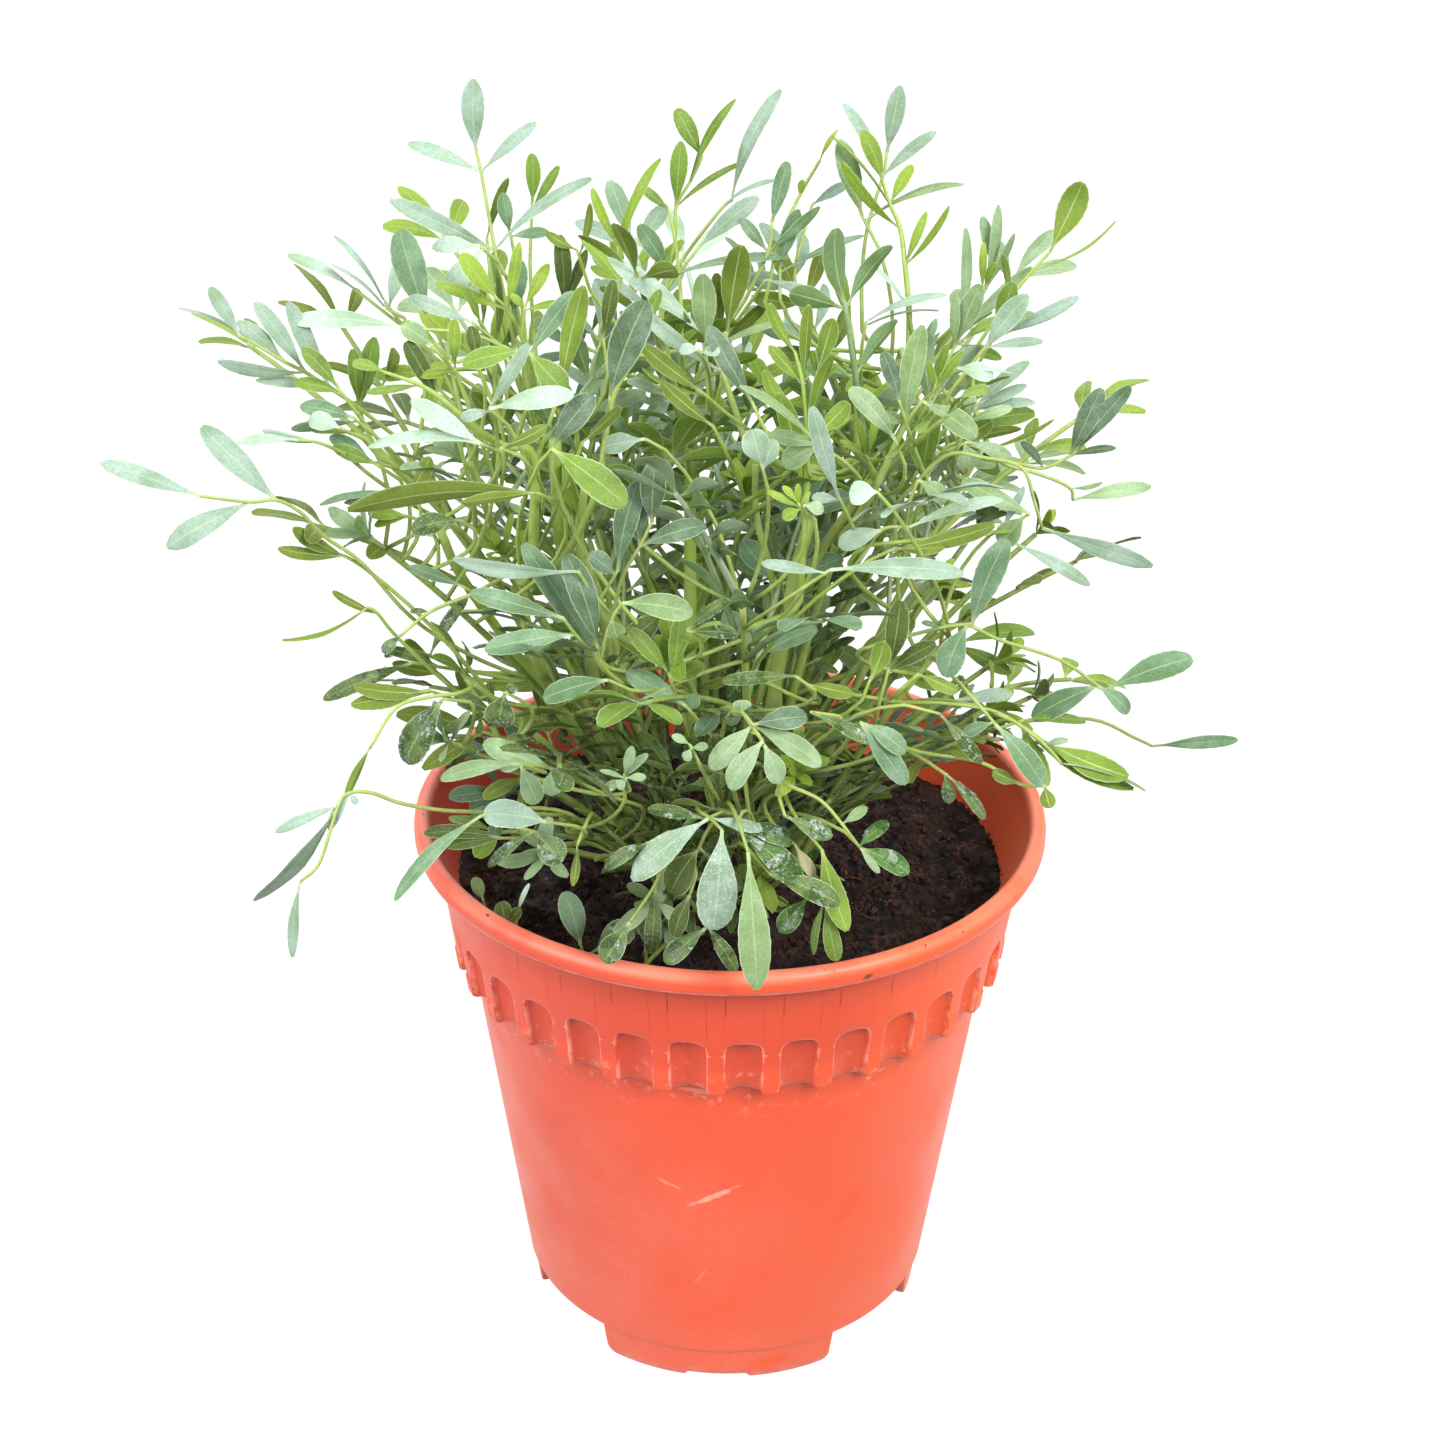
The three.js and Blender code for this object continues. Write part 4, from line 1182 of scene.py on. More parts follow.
# The leafy stems, as the frame has them
stems = [
    stemRow("upper_left", (-15, 0), (-47, 4, 236), 1.9, 3, (
        (1, (-56, 15, 302), 2, 19, 0.32, 0.02),
        (0.84, (-29, 22, 284), 2, 17, 0.34, 0.1),
        (0.66, (-68, -38, 236), 2, 17, 0.36, 0.12),
    )),
    stemRow("left", (-20, -6), (-70, -16, 226), 1.6, 2, (
        (1, (-111, -20, 264), 2, 16, 0.34, 0.06),
        (0.9, (-118, 6, 254), 1, 15, 0.3, 0.1),
        (0.84, (-97, 20, 260), 2, 18, 0.24, 0.1),
        (0.8, (-74, 8, 270), 1, 21, 0.34, 0.05),
        (0.66, (-100, -38, 226), 2, 16, 0.38, 0.1),
    )),
    stemRow("far_left", (-17, -14), (-58, -32, 184), 1.2, 1, (
        (1, (-123, -66, 251), 1, 21, 0.31, -0.04, 16),
        (0.9, (-100, -50, 205), 1, 18, 0.3, 0.12),
        (0.7, (-91, -48, 184), 2, 15, 0.38, 0.12),
    )),
    stemRow("front_left", (-11, -19), (-36, -42, 152), 1.1, 0, (
        (1, (-94, -97, 160), 2, 19, 0.22, 0.26),
        (0.84, (-71, -79, 156), 1, 20, 0.3, 0.2),
        (0.7, (-54, -66, 184), 1, 16, 0.45, 0.12),
        (0.5, (-66, -46, 150), 1, 14, 0.45, 0.2),
    )),
    stemRow("front", (-1, -18), (-1, -38, 154), 1.3, 1, (
        (1, (-5, -84, 148), 1, 22, 0.44, 0.6),
        (0.88, (6, -88, 141), 0, 28, 0.27, 0.5),
        (0.8, (22, -70, 184), 1, 16, 0.45, 0.14),
        (0.6, (34, -64, 147), 1, 17, 0.38, 0.3),
    )),
    stemRow("middle_front", (5, -8), (2, -36, 204), 1.6, 3, (
        (1, (-18, -66, 250), 2, 18, 0.34, 0.12),
        (0.8, (24, -78, 220), 2, 17, 0.42, 0.14),
        (0.6, (-26, -82, 200), 1, 17, 0.42, 0.14),
    )),
    stemRow("centre", (-4, 4), (-12, 12, 244), 1.7, 3, (
        (1, (-11, 34, 292), 1, 18, 0.36, 0.06),
        (0.93, (9, 38, 294), 1, 22, 0.24, 0.06),
        (0.8, (-24, -24, 284), 2, 17, 0.36, 0.06),
    )),
    stemRow("centre_right", (7, 2), (29, -6, 226), 1.9, 3, (
        (1, (20, -14, 280), 2, 18, 0.36, 0.05),
        (0.8, (46, -58, 238), 2, 19, 0.28, 0.1),
    )),
    stemRow("upper_right", (9, 11), (38, 24, 240), 1.5, 2, (
        (1, (34, 31, 298), 2, 15, 0.36, 0.03),
        (0.86, (57, 36, 274), 2, 15, 0.3, 0.05),
    )),
    stemRow("right", (15, -2), (56, 0, 228), 1.6, 2, (
        (1, (77, 14, 282), 1, 21, 0.36, 0.06, 8),
        (0.9, (90, -18, 247), 2, 17, 0.38, 0.1),
        (0.76, (94, 24, 234), 2, 17, 0.34, 0.1),
    )),
    stemRow("low_right", (15, -11), (48, -22, 190), 1.3, 0, (
        (1, (91, -34, 214), 2, 17, 0.3, 0.14),
        (0.85, (56, -54, 208), 1, 17, 0.36, 0.2),
        (0.66, (88, -48, 164), 1, 18, 0.36, 0.22),
        (0.5, (60, -64, 160), 1, 16, 0.36, 0.24),
    )),
    stemRow("far_right", (17, 5), (54, 6, 166), 1.2, 1, (
        (1, (123, 8, 151), 2, 20, 0.24, 0.22, 4),
        (0.86, (104, -16, 184), 1, 18, 0.34, 0.1),
        (0.66, (98, 30, 152), 2, 17, 0.36, 0.2),
    )),
    stemRow("back_left", (-13, 11), (-42, 42, 218), 1.6, 2, (
        (1, (-80, 74, 262), 3, 18, 0.36, 0.1),
        (0.76, (-96, 54, 214), 2, 18, 0.34, 0.12),
        (0.5, (-74, 78, 174), 2, 17, 0.38, 0.16),
    )),
    stemRow("back", (-2, 19), (-4, 54, 214), 1.6, 2, (
        (1, (-16, 96, 250), 3, 17, 0.34, 0.12),
        (0.8, (26, 98, 214), 2, 18, 0.38, 0.14),
        (0.5, (-12, 96, 164), 2, 17, 0.36, 0.22),
    )),
    stemRow("back_right", (11, 18), (44, 46, 214), 1.6, 2, (
        (1, (78, 78, 252), 3, 18, 0.36, 0.1),
        (0.7, (88, 66, 200), 2, 18, 0.34, 0.12),
        (0.44, (62, 80, 156), 2, 16, 0.38, 0.24),
    )),
]


def seededDraw(seed):
    modulus, multiplier, stride, offset = 2147483647, 16807, 7919, 12345
    state = [(seed * stride + offset) % modulus]

    def draw():
        state[0] = state[0] * multiplier % modulus
        return state[0] / modulus
    draw()
    draw()
    return draw


def unit(vector):
    return vector / np.linalg.norm(vector)


def along(curve, share):
    # a point on a bent line of three points
    left = 1 - share
    return curve[0] * left * left + curve[1] * 2 * left * share + curve[2] * share * share


def wayOf(curve, share):
    small = 0.0001
    return unit(along(curve, min(share + small, 1)) - along(curve, max(share - small, 0)))


def turnedAbout(vector, axis, angle):
    c, s = math.cos(angle), math.sin(angle)
    return vector * c + np.cross(axis, vector) * s + axis * (axis @ vector) * (1 - c)


def squared(vector, axis):
    return unit(vector - axis * (axis @ vector))


def stemLine(stem):
    root = np.array([*stem["root"], soil["top"] + plant["stemStraight"]], float)
    tip = np.array(stem["tip"], float)
    bend = (root + tip) / 2
    bend[:2] += (root - tip)[:2] * plant["stemBow"] * 0.5
    return (root, bend, tip)


def stemRadius(stem, share):
    return stem["radius"] + (plant["stemTipRadius"] - stem["radius"]) * share


def leafFrame(curve, facing, roll, share):
    ahead = wayOf(curve, share)
    normal = turnedAbout(squared(facing, ahead), ahead, math.radians(roll))
    return ahead, normal, np.cross(ahead, normal)


def bladeBalls(start, ahead, upward, length, width):
    normal = squared(upward, ahead)
    spots = ((0.26, 0.28, 0.02), (0.48, 0.48, 0.035), (0.68, 0.46, 0.02), (0.86, 0.34, 0.01))
    balls = []
    for at, share, lift in spots:
        balls.append((*(start + ahead * length * at + normal * length * lift), width * share, 1))
    balls.append((*(start + ahead * length - normal * length * 0.05), 0.6, 1))
    return balls


def leafPlan(start, leaf):
    # where a leaf's stalk runs and where its leaflets stand
    tip = np.array(leaf["tip"], float)
    span = tip - start
    length = float(np.linalg.norm(span))
    bend = (start + tip) / 2
    bend[2] += length * leaf["rise"]
    curve = (start, bend, tip)
    outward = unit(np.array([tip[0], tip[1], 0.0]))
    facing = np.array([0.0, 0.0, 1.0]) - 0.6 * (span[2] / length) * outward
    roll = leaf.get("roll", 0)
    blade = leaf["blade"]
    half = plant["bladeStalk"] / 2
    bladeStart = 1 - blade / length
    halfJoint = half / length
    spacing = blade * plant["pairSpacing"] / length
    lastJoint = bladeStart - halfJoint * 2 - leaf.get("neck", 0) / length
    joints = [lastJoint - spacing * (leaf["pairs"] - 1 - i) for i in range(leaf["pairs"])]
    blades, balls = [], []

    def edges(share):
        _, _, across = leafFrame(curve, facing, roll, share)
        spot = along(curve, share)
        return spot - across * half, spot + across * half
    for i, share in enumerate(joints):
        low, high = edges(share - halfJoint), edges(share + halfJoint)
        ahead, normal, across = leafFrame(curve, facing, roll, share)
        turn = math.radians(plant["sideAngle"])
        long = blade * plant["sideShare"] * (plant["firstPairShare"] if leaf["pairs"] > 1 and i == 0 else 1)
        for side in (-1, 1):
            way = ahead * math.cos(turn) + across * (side * math.sin(turn))
            spot = (low[0] + high[0]) / 2 if side < 0 else (low[1] + high[1]) / 2
            blades.append(dict(start=spot, way=way, normal=normal, length=long, width=long * leaf["broad"]))
            balls += bladeBalls(spot, way, normal, long, long * leaf["broad"])
    end = along(curve, bladeStart)
    _, normal, _ = leafFrame(curve, facing, roll, bladeStart)
    lastSpot = sum(edges(bladeStart)) / 2
    if bladeStart - (joints[-1] if joints else 0) <= halfJoint * 4:
        lastSpot = sum(edges(joints[-1] + halfJoint)) / 2
    way = unit(tip - end)
    blades.append(dict(start=lastSpot, way=way, normal=normal, length=blade, width=blade * leaf["broad"]))
    balls += bladeBalls(lastSpot, way, normal, blade, blade * leaf["broad"])
    beads = math.ceil(length * bladeStart / 4)
    for i in range(beads):
        balls.append((*along(curve, i / beads * bladeStart), 0.8, 0))
    return dict(curve=curve, bladeStart=bladeStart, blades=blades, balls=np.array(balls))


def isClear(balls, number, placed, looseness=1.0):
    x, y, z, size, blade = balls.T
    radius = np.hypot(x, y)
    own = stems[number]["root"]
    low = (radius < pot["rimRadius"]) & (z - size < soil["top"] + soil["roughness"] + 1)
    if (low & (np.hypot(x - own[0], y - own[1]) > plant["rootGuard"])).any():
        return False
    rim = np.hypot(radius - pot["rimRadius"] + 2, z - pot["height"] + 2.8)
    if (rim < size + plant["rimGuard"] + plant["clearance"]).any():
        return False
    if ((radius > pot["rimRadius"] - 14) & (radius < pot["rimRadius"] + 1) & (z < pot["height"] - 3)).any():
        return False
    middle = balls[:, :3].mean(axis=0)
    reach = np.sqrt(((balls[:, :3] - middle) ** 2).sum(axis=1)).max() + 9
    placed = placed[((placed[:, :3] - middle) ** 2).sum(axis=1) < reach ** 2]
    gap = (size[:, None] + placed[None, :, 3] + plant["clearance"]) * looseness
    apart = balls[:, None, :3] - placed[None, :, :3]
    close = (apart ** 2).sum(axis=2) < gap * gap
    kin = (placed[None, :, 5] == number) & ~((placed[None, :, 4] > 0) & (blade[:, None] > 0))
    return not (close & ~kin).any()


def withStem(balls, number):
    return np.hstack([balls, np.full((len(balls), 1), number)])


def drawnLeaf(stem, number, leafNumber, attempt):
    draw = seededDraw(1000 * (number + 1) + 50 * leafNumber + attempt)
    on = plant["drawnFrom"] + plant["drawnSpan"] * (leafNumber + 0.5) / stem["extra"]
    on += (draw() - 0.5) * plant["drawnSlack"]
    start = along(stemLine(stem), on)
    lean = math.atan2(stem["tip"][1], stem["tip"][0])
    turn = lean + math.radians(plant["turnPerLeaf"] * leafNumber + plant["firstTurn"])
    turn += (draw() - 0.5) * plant["turnSlack"]
    climb = math.radians(plant["climb"] + plant["climbMore"] * on + (draw() - 0.5) * plant["climbSlack"])
    length = between(draw, plant["drawnLength"])
    way = np.array([math.cos(turn) * math.cos(climb), math.sin(turn) * math.cos(climb), math.sin(climb)])
    pairs = 3 if draw() < 0.6 else 2
    blade = between(draw, plant["drawnBlade"])
    broad = 0.3 + 0.14 * draw()
    roll = (draw() - 0.5) * 50
    return dict(on=on, tip=start + way * length, pairs=pairs, blade=blade, broad=broad, rise=0.08, roll=roll)


def nudgedLeaf(leaf, number, leafNumber, attempt):
    draw = seededDraw(70000 + 1000 * number + 50 * leafNumber + attempt)
    shift = attempt * plant["nudge"]
    tip = [value + (draw() - 0.5) * 2 * shift for value in leaf["tip"]]
    return {**leaf, "tip": tip, "roll": (draw() - 0.5) * min(attempt * plant["nudgeRoll"], plant["mostRoll"])}


def placeFrameLeaves():
    # the leaves that the frame holds, in its order
    placed = []
    for number, stem in enumerate(stems):
        beads = 30
        line = stemLine(stem)
        for i in range(beads + 1):
            placed.append((*along(line, i / beads), stemRadius(stem, i / beads), 0, number))
    placed = np.array(placed)
    plans = [[] for _ in stems]

    def settle(makeLeaf, number):
        nonlocal placed
        for attempt in range(plant["tries"]):
            leaf = makeLeaf(attempt)
            plan = leafPlan(along(stemLine(stems[number]), leaf["on"]), leaf)
            if isClear(plan["balls"], number, placed):
                placed = np.vstack([placed, withStem(plan["balls"], number)])
                plans[number].append(plan)
                return
    for number, stem in enumerate(stems):
        for leafNumber, leaf in enumerate(stem["leaves"]):
            settle(lambda attempt: nudgedLeaf(leaf, number, leafNumber, attempt), number)
    for number, stem in enumerate(stems):
        for leafNumber in range(stem["extra"]):
            settle(lambda attempt: drawnLeaf(stem, number, leafNumber, attempt), number)
    return plans, placed


def spray(tone, depth, at, tips=(), wide=1, thick=0.5, of=None, rooted=False):
    # one leaf as the photo shows it, in its pixels. depth is the y of the stalk's foot and end, at
    # the stalk up to the end leaflet, tips the leaflets' tips, the end one first and then by pairs
    # down the stalk, wide the leaflets' width in mm and thick the stalk's radius. of names the
    # frame's leaf that it draws, and a rooted one stands in the soil.
    widths = wide if isinstance(wide, tuple) else (wide,)
    return {"tone": tone, "depth": depth, "at": at, "tips": tips, "widths": widths, "thick": thick,
            "of": of, "rooted": rooted}


# The leaves that the photo shows, then the bare stems between them and the small leaves in the soil
seenLeaves = [
    # top left
    spray("blue", (10, 18), ((505, 300), (495, 250), (481, 172), (476, 150)), ((473, 80), (408, 142),
          (535, 122), (390, 200), (588, 175)), (5.8, 4, 3.6, 4.2, 4), of=("upper_left", 0)),
    spray("green", (22, 26), ((530, 262), (532, 202)), ((532, 154), (558, 166)), (3.9, 2.6),
          of=("upper_left", 1)),
    spray("olive", (16, 18), ((489, 262), (487, 238)), ((507, 177),), 2),
    spray("teal", (14, 16), ((516, 262), (510, 232)), ((503, 193), (549, 232)), (3.8, 3.2)),
    spray("teal", (-6, -4), ((440, 340), (426, 314)), ((400, 231),), 8.2, of=("left", 3)),
    spray("pale", (4, 2), ((498, 262), (480, 246)), ((432, 246), (446, 292)), (4.6, 6)),
    spray("lime", (-4, -6), ((520, 332), (508, 310), (496, 298)), ((462, 254), (436, 283), (519, 243)),
          (5, 2.6, 3)),
    spray("lime", (-6, -7), ((522, 336), (525, 306)), ((548, 264), (511, 294), (562, 302)), (3.2, 2, 2.2)),
    spray("blue", (-8, -10), ((500, 345), (472, 322)), ((410, 295),), 3.8),
    spray("teal", (2, 4), ((524, 345), (513, 316)), ((521, 261),), 5),
    spray("dark", (6, 8), ((566, 330), (563, 304)), ((560, 236), (586, 250)), (4.4, 3)),
    spray("olive", (8, 6), ((590, 290), (577, 250)), ((545, 233), (592, 203)), (2.8, 2.2)),
    spray("lime", (-2, 0), ((600, 330), (620, 282), (618, 246)), ((592, 189), (582, 236), (655, 158)),
          (2.4, 3.2, 2.8)),
    spray("pale", (-12, -16), ((515, 352), (470, 334), (404, 328)), ((289, 319),), 4.8),
    spray("teal", (0, 2), ((470, 420), (438, 388)), ((407, 342),), 4.8),
    spray("lime", (-10, -12), ((500, 420), (474, 362), (455, 362), (438, 345)), ((401, 323), (452, 320),
          (421, 374), (471, 327)), (4.6, 3.4, 3.2, 3.6)),
    spray("pale", (0, 2), ((404, 318), (386, 308)), ((334, 262),), 1.4),
    # the long left arm
    spray("blue", (-12, -22), ((400, 440), (355, 405), (330, 388), (305, 372), (285, 362), (262, 348),
          (240, 336)), ((210, 287), (181, 304), None, (238, 321), None, (217, 363), (256, 302), (256, 379),
          (289, 302)), (3.8, 1.6, 1, 4, 1, 2.2, 4.6, 3, 4.6), of=("left", 0)),
    spray("green", (-20, -22), ((362, 420), (338, 388)), ((303, 348), (294, 381)), (4.4, 3.8)),
    spray("teal", (-22, -24), ((380, 440), (354, 418)), ((300, 405), (291, 430), None), (4.8, 1.8)),
    spray("pale", (-26, -28), ((366, 440), (340, 428)), ((309, 418),), 5),
    spray("green", (-14, -14), ((366, 430), (358, 404)), ((353, 350), (374, 338)), (3.4, 4.8)),
    spray("pale", (0, 4), ((410, 335), (385, 302)), ((337, 234), (398, 262)), (1.8, 3.6)),
    spray("pale", (0, 4), ((420, 340), (356, 290)), ((288, 254),), 3.2),
    spray("pale", (-24, -36), ((405, 500), (370, 475), (345, 455), (320, 443), (298, 440)), ((236, 441),
          (262, 431)), (3, 1.8)),
    spray("green", (-28, -30), ((400, 480), (376, 464)), ((333, 446),), 3.8),
    spray("teal", (-30, -32), ((440, 498), (400, 493)), ((319, 502), (344, 503)), (2.8, 2.2)),
    spray("lime", (-30, -30), ((424, 522), (408, 516)), ((368, 512), (374, 525)), (3.4, 2.6)),
    spray("teal", (-24, -26), ((396, 468), (372, 462)), ((330, 436),), 4),
    spray("green", (-24, -26), ((380, 458), (358, 434)), ((312, 430),), 2.2),
    spray("blue", (-20, -60), ((525, 678), (470, 655), (412, 618), (362, 563), (325, 537), (300, 512),
          (276, 500), (250, 502), (200, 496)), ((101, 461), (165, 546), None, (203, 426)),
          (4.6, 6.2, 1, 6.2), of=("far_left", 0)),
    spray("olive", (-40, -42), ((362, 566), (345, 556)), ((278, 550), (292, 529)), (3.4, 4),
          of=("far_left", 1)),
    spray("olive", (-26, -46), ((500, 715), (455, 690), (400, 640), (378, 614), (368, 607)), ((284, 644),
          (332, 592)), (1.8, 2.2), of=("far_left", 2)),
    spray("wet", (-44, -50), ((470, 595), (430, 612), (400, 636)), ((382, 652), (410, 611)), (3, 1.6)),
    spray("teal", (-34, -36), ((490, 602), (462, 586)), ((410, 566),), 3.2),
    spray("olive", (-36, -40), ((455, 700), (428, 690)), ((352, 706), (354, 688)), (5, 4.4)),
    spray("wet", (-48, -52), ((470, 702), (443, 699)), ((404, 763),), 8.2),
    spray("olive", (-50, -62), ((455, 694), (430, 697), (396, 708), (370, 748)), ((345, 797),), 1.8),
    spray("dark", (-40, -44), ((520, 712), (490, 712)), ((443, 732), (455, 694)), (3, 4.4)),
    spray("blue", (-50, -80), ((560, 815), (478, 812), (440, 810), (400, 803), (372, 793), (350, 793),
          (338, 806), (320, 862), (300, 882)), ((290, 958), None, None, (257, 905), (275, 832), (328, 830),
          (357, 804)), (2.8, 1, 1, 1.3, 2.6, 2.6, 1.8), of=("front_left", 0)),
    spray("teal", (-66, -72), ((520, 808), (481, 816)), ((391, 898),), 4.3, of=("front_left", 1)),
    spray("dark", (-54, -56), ((520, 838), (500, 838)), ((424, 832), (447, 846)), (4, 3.6)),
    spray("mint", (-46, -66), ((640, 806), (600, 792), (552, 769), (519, 764)), ((440, 778), (551, 796),
          (484, 742)), (4.3, 4.5, 5.8), of=("front_left", 2)),
    spray("mint", (-62, -66), ((545, 772), (520, 764)), ((538, 804), (500, 768)), (5.4, 2.8)),
    spray("blue", (-66, -70), ((575, 826), (546, 822)), ((484, 813),), 7.4),
    # the dense left centre
    spray("mint", (-26, -28), ((455, 372), (432, 346)), ((402, 325),), 4.8),
    spray("lime", (-28, -28), ((462, 388), (455, 368)), ((455, 320), (420, 375)), (3, 2.6)),
    spray("dark", (-24, -24), ((485, 386), (477, 361)), ((471, 326),), 3.6),
    spray("dark", (-26, -28), ((450, 420), (438, 400)), ((407, 342),), 4.6),
    spray("green", (-34, -46), ((533, 560), (533, 458), (503, 446), (470, 425), (445, 402), (420, 385),
          (384, 372)), ((352, 362), (366, 392)), (2.8, 2), thick=1.3),
    spray("pale", (-46, -50), ((500, 452), (480, 444)), ((368, 443), (412, 399)), (3.8, 5)),
    spray("blue", (-44, -46), ((496, 425), (489, 409)), ((527, 344), (460, 418)), (3.4, 3)),
    spray("green", (-34, -36), ((548, 372), (526, 350)), ((462, 363), (566, 392)), (5.2, 7)),
    spray("teal", (-30, -32), ((540, 375), (531, 353)), ((574, 292),), 4.8),
    spray("grass", (-36, -34), ((552, 415), (560, 392)), ((585, 284),), 5.4),
    spray("slate", (-40, -40), ((600, 470), (606, 428), (610, 396)), ((645, 302),), 8.4),
    spray("green", (-34, -30), ((600, 480), (612, 400), (634, 360), (648, 324)), ((660, 290),), 3,
          thick=0.9),
    spray("pale", (-46, -48), ((508, 425), (490, 409)), ((573, 393),), 5.6),
    spray("slate", (-46, -48), ((552, 470), (553, 446)), ((592, 395),), 6.4),
    spray("olive", (-40, -42), ((575, 462), (583, 442)), ((622, 407),), 2.8),
    spray("olive", (-52, -54), ((520, 456), (500, 448)), ((548, 427), (552, 426)), (3.4, 2)),
    spray("green", (-54, -56), ((540, 462), (552, 449)), ((627, 504),), 8),
    spray("blue", (-34, -36), ((665, 450), (645, 439)), ((601, 447),), 5.4),
    spray("slate", (-44, -54), ((598, 662), (612, 618), (622, 578), (640, 546), (652, 522)), ((655, 462),
          (705, 524), (637, 482)), (6, 5.4, 5.6)),
    spray("slate", (-50, -52), ((600, 600), (618, 570)), ((637, 483), (590, 554)), (5.8, 5)),
    spray("olive", (-52, -54), ((555, 500), (537, 493)), ((461, 501), (348, 503)), (1.6, 1.6)),
    spray("wet", (-38, -40), ((475, 530), (460, 520)), ((411, 529),), 6),
    spray("olive", (-34, -34), ((418, 500), (411, 490)), ((431, 457), (433, 478)), (4, 3)),
    spray("pale", (-56, -58), ((590, 590), (578, 571)), ((453, 563),), 1.7),
    spray("teal", (-50, -60), ((600, 662), (575, 634), (563, 618)), ((472, 591), (484, 648), None,
          (526, 545)), (5, 5.8, 1, 6.2)),
    spray("slate", (-54, -56), ((600, 662), (597, 645)), ((568, 556),), 6.6),
    spray("teal", (-56, -60), ((630, 690), (608, 680)), ((543, 698),), 5.6),
    spray("sage", (-54, -60), ((600, 660), (612, 620), (622, 603)), ((693, 612), (617, 638)), (6.6, 4.6)),
    spray("green", (-44, -50), ((690, 735), (668, 672)), ((630, 629), (680, 614), (703, 664)),
          (4.6, 4.2, 4.2)),
    spray("teal", (-46, -50), ((715, 740), (686, 706)), ((627, 672), (694, 694)), (5.6, 4)),
    spray("slate", (-50, -52), ((662, 690), (648, 697)), ((611, 717),), 3.6),
    spray("dark", (-42, -44), ((640, 655), (616, 664)), ((656, 618),), 6.4),
    spray("wet", (-50, -52), ((530, 705), (505, 692)), ((497, 727), (515, 685)), (7.6, 3)),
    spray("mint", (-60, -64), ((625, 800), (624, 775)), ((632, 747), (647, 754), (603, 790)),
          (2.6, 2.2, 2.6)),
    spray("mint", (-62, -66), ((630, 790), (626, 778)), ((646, 777), (617, 788), (600, 770)),
          (2.2, 2.8, 1.4)),
    # top centre
    spray("green", (26, 34), ((668, 278), (675, 240), (676, 207), (690, 182), (702, 158)), ((677, 109),
          (732, 98), None, (681, 142), (740, 160)), (5, 2.8, 1, 4.6, 2.6), of=("centre", 0)),
    spray("green", (26, 28), ((674, 232), (669, 210)), ((640, 185),), 2.8),
    spray("blue", (20, 30), ((664, 288), (692, 246), (722, 208), (732, 200)), ((777, 89), (775, 178)),
          (4.2, 2), of=("centre", 1)),
    spray("blue", (14, 16), ((664, 292), (700, 246)), ((757, 197),), 5),
    spray("teal", (10, 12), ((664, 300), (668, 272)), ((640, 225), (787, 252)), (5, 3.8)),
    spray("teal", (12, 14), ((745, 300), (768, 252), (772, 222)), ((787, 162), (741, 218), (820, 208)),
          (4.2, 3.4, 2)),
    spray("lime", (12, 24), ((765, 302), (780, 240), (800, 195), (820, 160)), ((837, 130), (803, 180)),
          (1.4, 2)),
    spray("teal", (10, 14), ((780, 300), (780, 268)), ((798, 210), (862, 232)), (4.2, 2.8)),
    spray("blue", (14, 22), ((795, 290), (796, 262), (812, 205)), ((850, 182),), 3),
    spray("olive", (-12, -8), ((722, 380), (727, 332)), ((742, 244),), 7),
    spray("sage", (-18, -16), ((708, 395), (706, 346)), ((703, 275), (784, 318)), (6, 2.4)),
    spray("pale", (-22, -16), ((745, 440), (722, 372), (706, 336)), ((611, 257), (640, 312)), (5, 2.6),
          thick=1.1),
    spray("dark", (-20, -18), ((608, 372), (603, 338)), ((613, 281),), 3.8),
    spray("blue", (4, 2), ((752, 300), (766, 280)), ((829, 302),), 3.4),
    spray("olive", (-24, -26), ((722, 410), (703, 393)), ((641, 346), (641, 371)), (4.6, 2)),
    spray("olive", (-30, -32), ((724, 448), (713, 426)), ((661, 384),), 3.8),
    spray("pale", (-26, -30), ((708, 372), (699, 350)), ((679, 350), (720, 350)), (3.2, 3.2)),
    spray("slate", (-30, -28), ((766, 432), (752, 402)), ((709, 326),), 5.4),
    spray("sage", (-36, -38), ((845, 462), (816, 443)), ((742, 383), (782, 464), (768, 434)), (3, 6, 3.8)),
    spray("pale", (-48, -50), ((768, 490), (762, 466)), ((752, 430), (775, 440)), (6.4, 4.4)),
    spray("blue", (-42, -44), ((850, 520), (838, 496)), ((813, 408), (812, 497)), (4.6, 2.8)),
    spray("grass", (-36, -38), ((806, 462), (816, 437)), ((850, 403),), 4.6),
    spray("grass", (-30, -26), ((800, 600), (806, 500), (807, 440), (803, 385), (795, 352)), ((768, 303),
          (768, 346), (807, 303), (762, 370), (830, 352), (778, 390), None), (3, 3.2, 3, 3.8, 2.2, 4.8),
          thick=1),
    spray("grass", (-26, -26), ((812, 400), (818, 370)), ((834, 318), (812, 350), (838, 365)),
          (4.6, 1.8, 2.2)),
    spray("grass", (4, 6), ((858, 470), (856, 385), (852, 330)), ((833, 259),), 3.8, thick=1.1),
    spray("lime", (-52, -54), ((808, 520), (798, 503)), ((783, 486), (798, 484), (810, 492), (768, 491),
          (782, 518)), (1.8, 1.6, 1.4, 2, 3.2)),
    spray("mint", (-52, -54), ((815, 520), (803, 505)), ((824, 510),), 3.4),
    # top right
    spray("blue", (16, 30), ((862, 330), (862, 275), (868, 225), (883, 176), (887, 152)), ((900, 86),
          (846, 104), (935, 131)), (5, 3.4, 3.4), of=("upper_right", 0)),
    spray("lime", (6, 16), ((909, 345), (909, 310), (905, 265), (900, 228), (890, 204), (882, 180)),
          ((863, 131), (912, 165), (836, 134), (840, 164), None, (926, 212), (951, 208)),
          (4.4, 3.2, 1, 1.2, 1, 2.4, 0.8), thick=0.85),
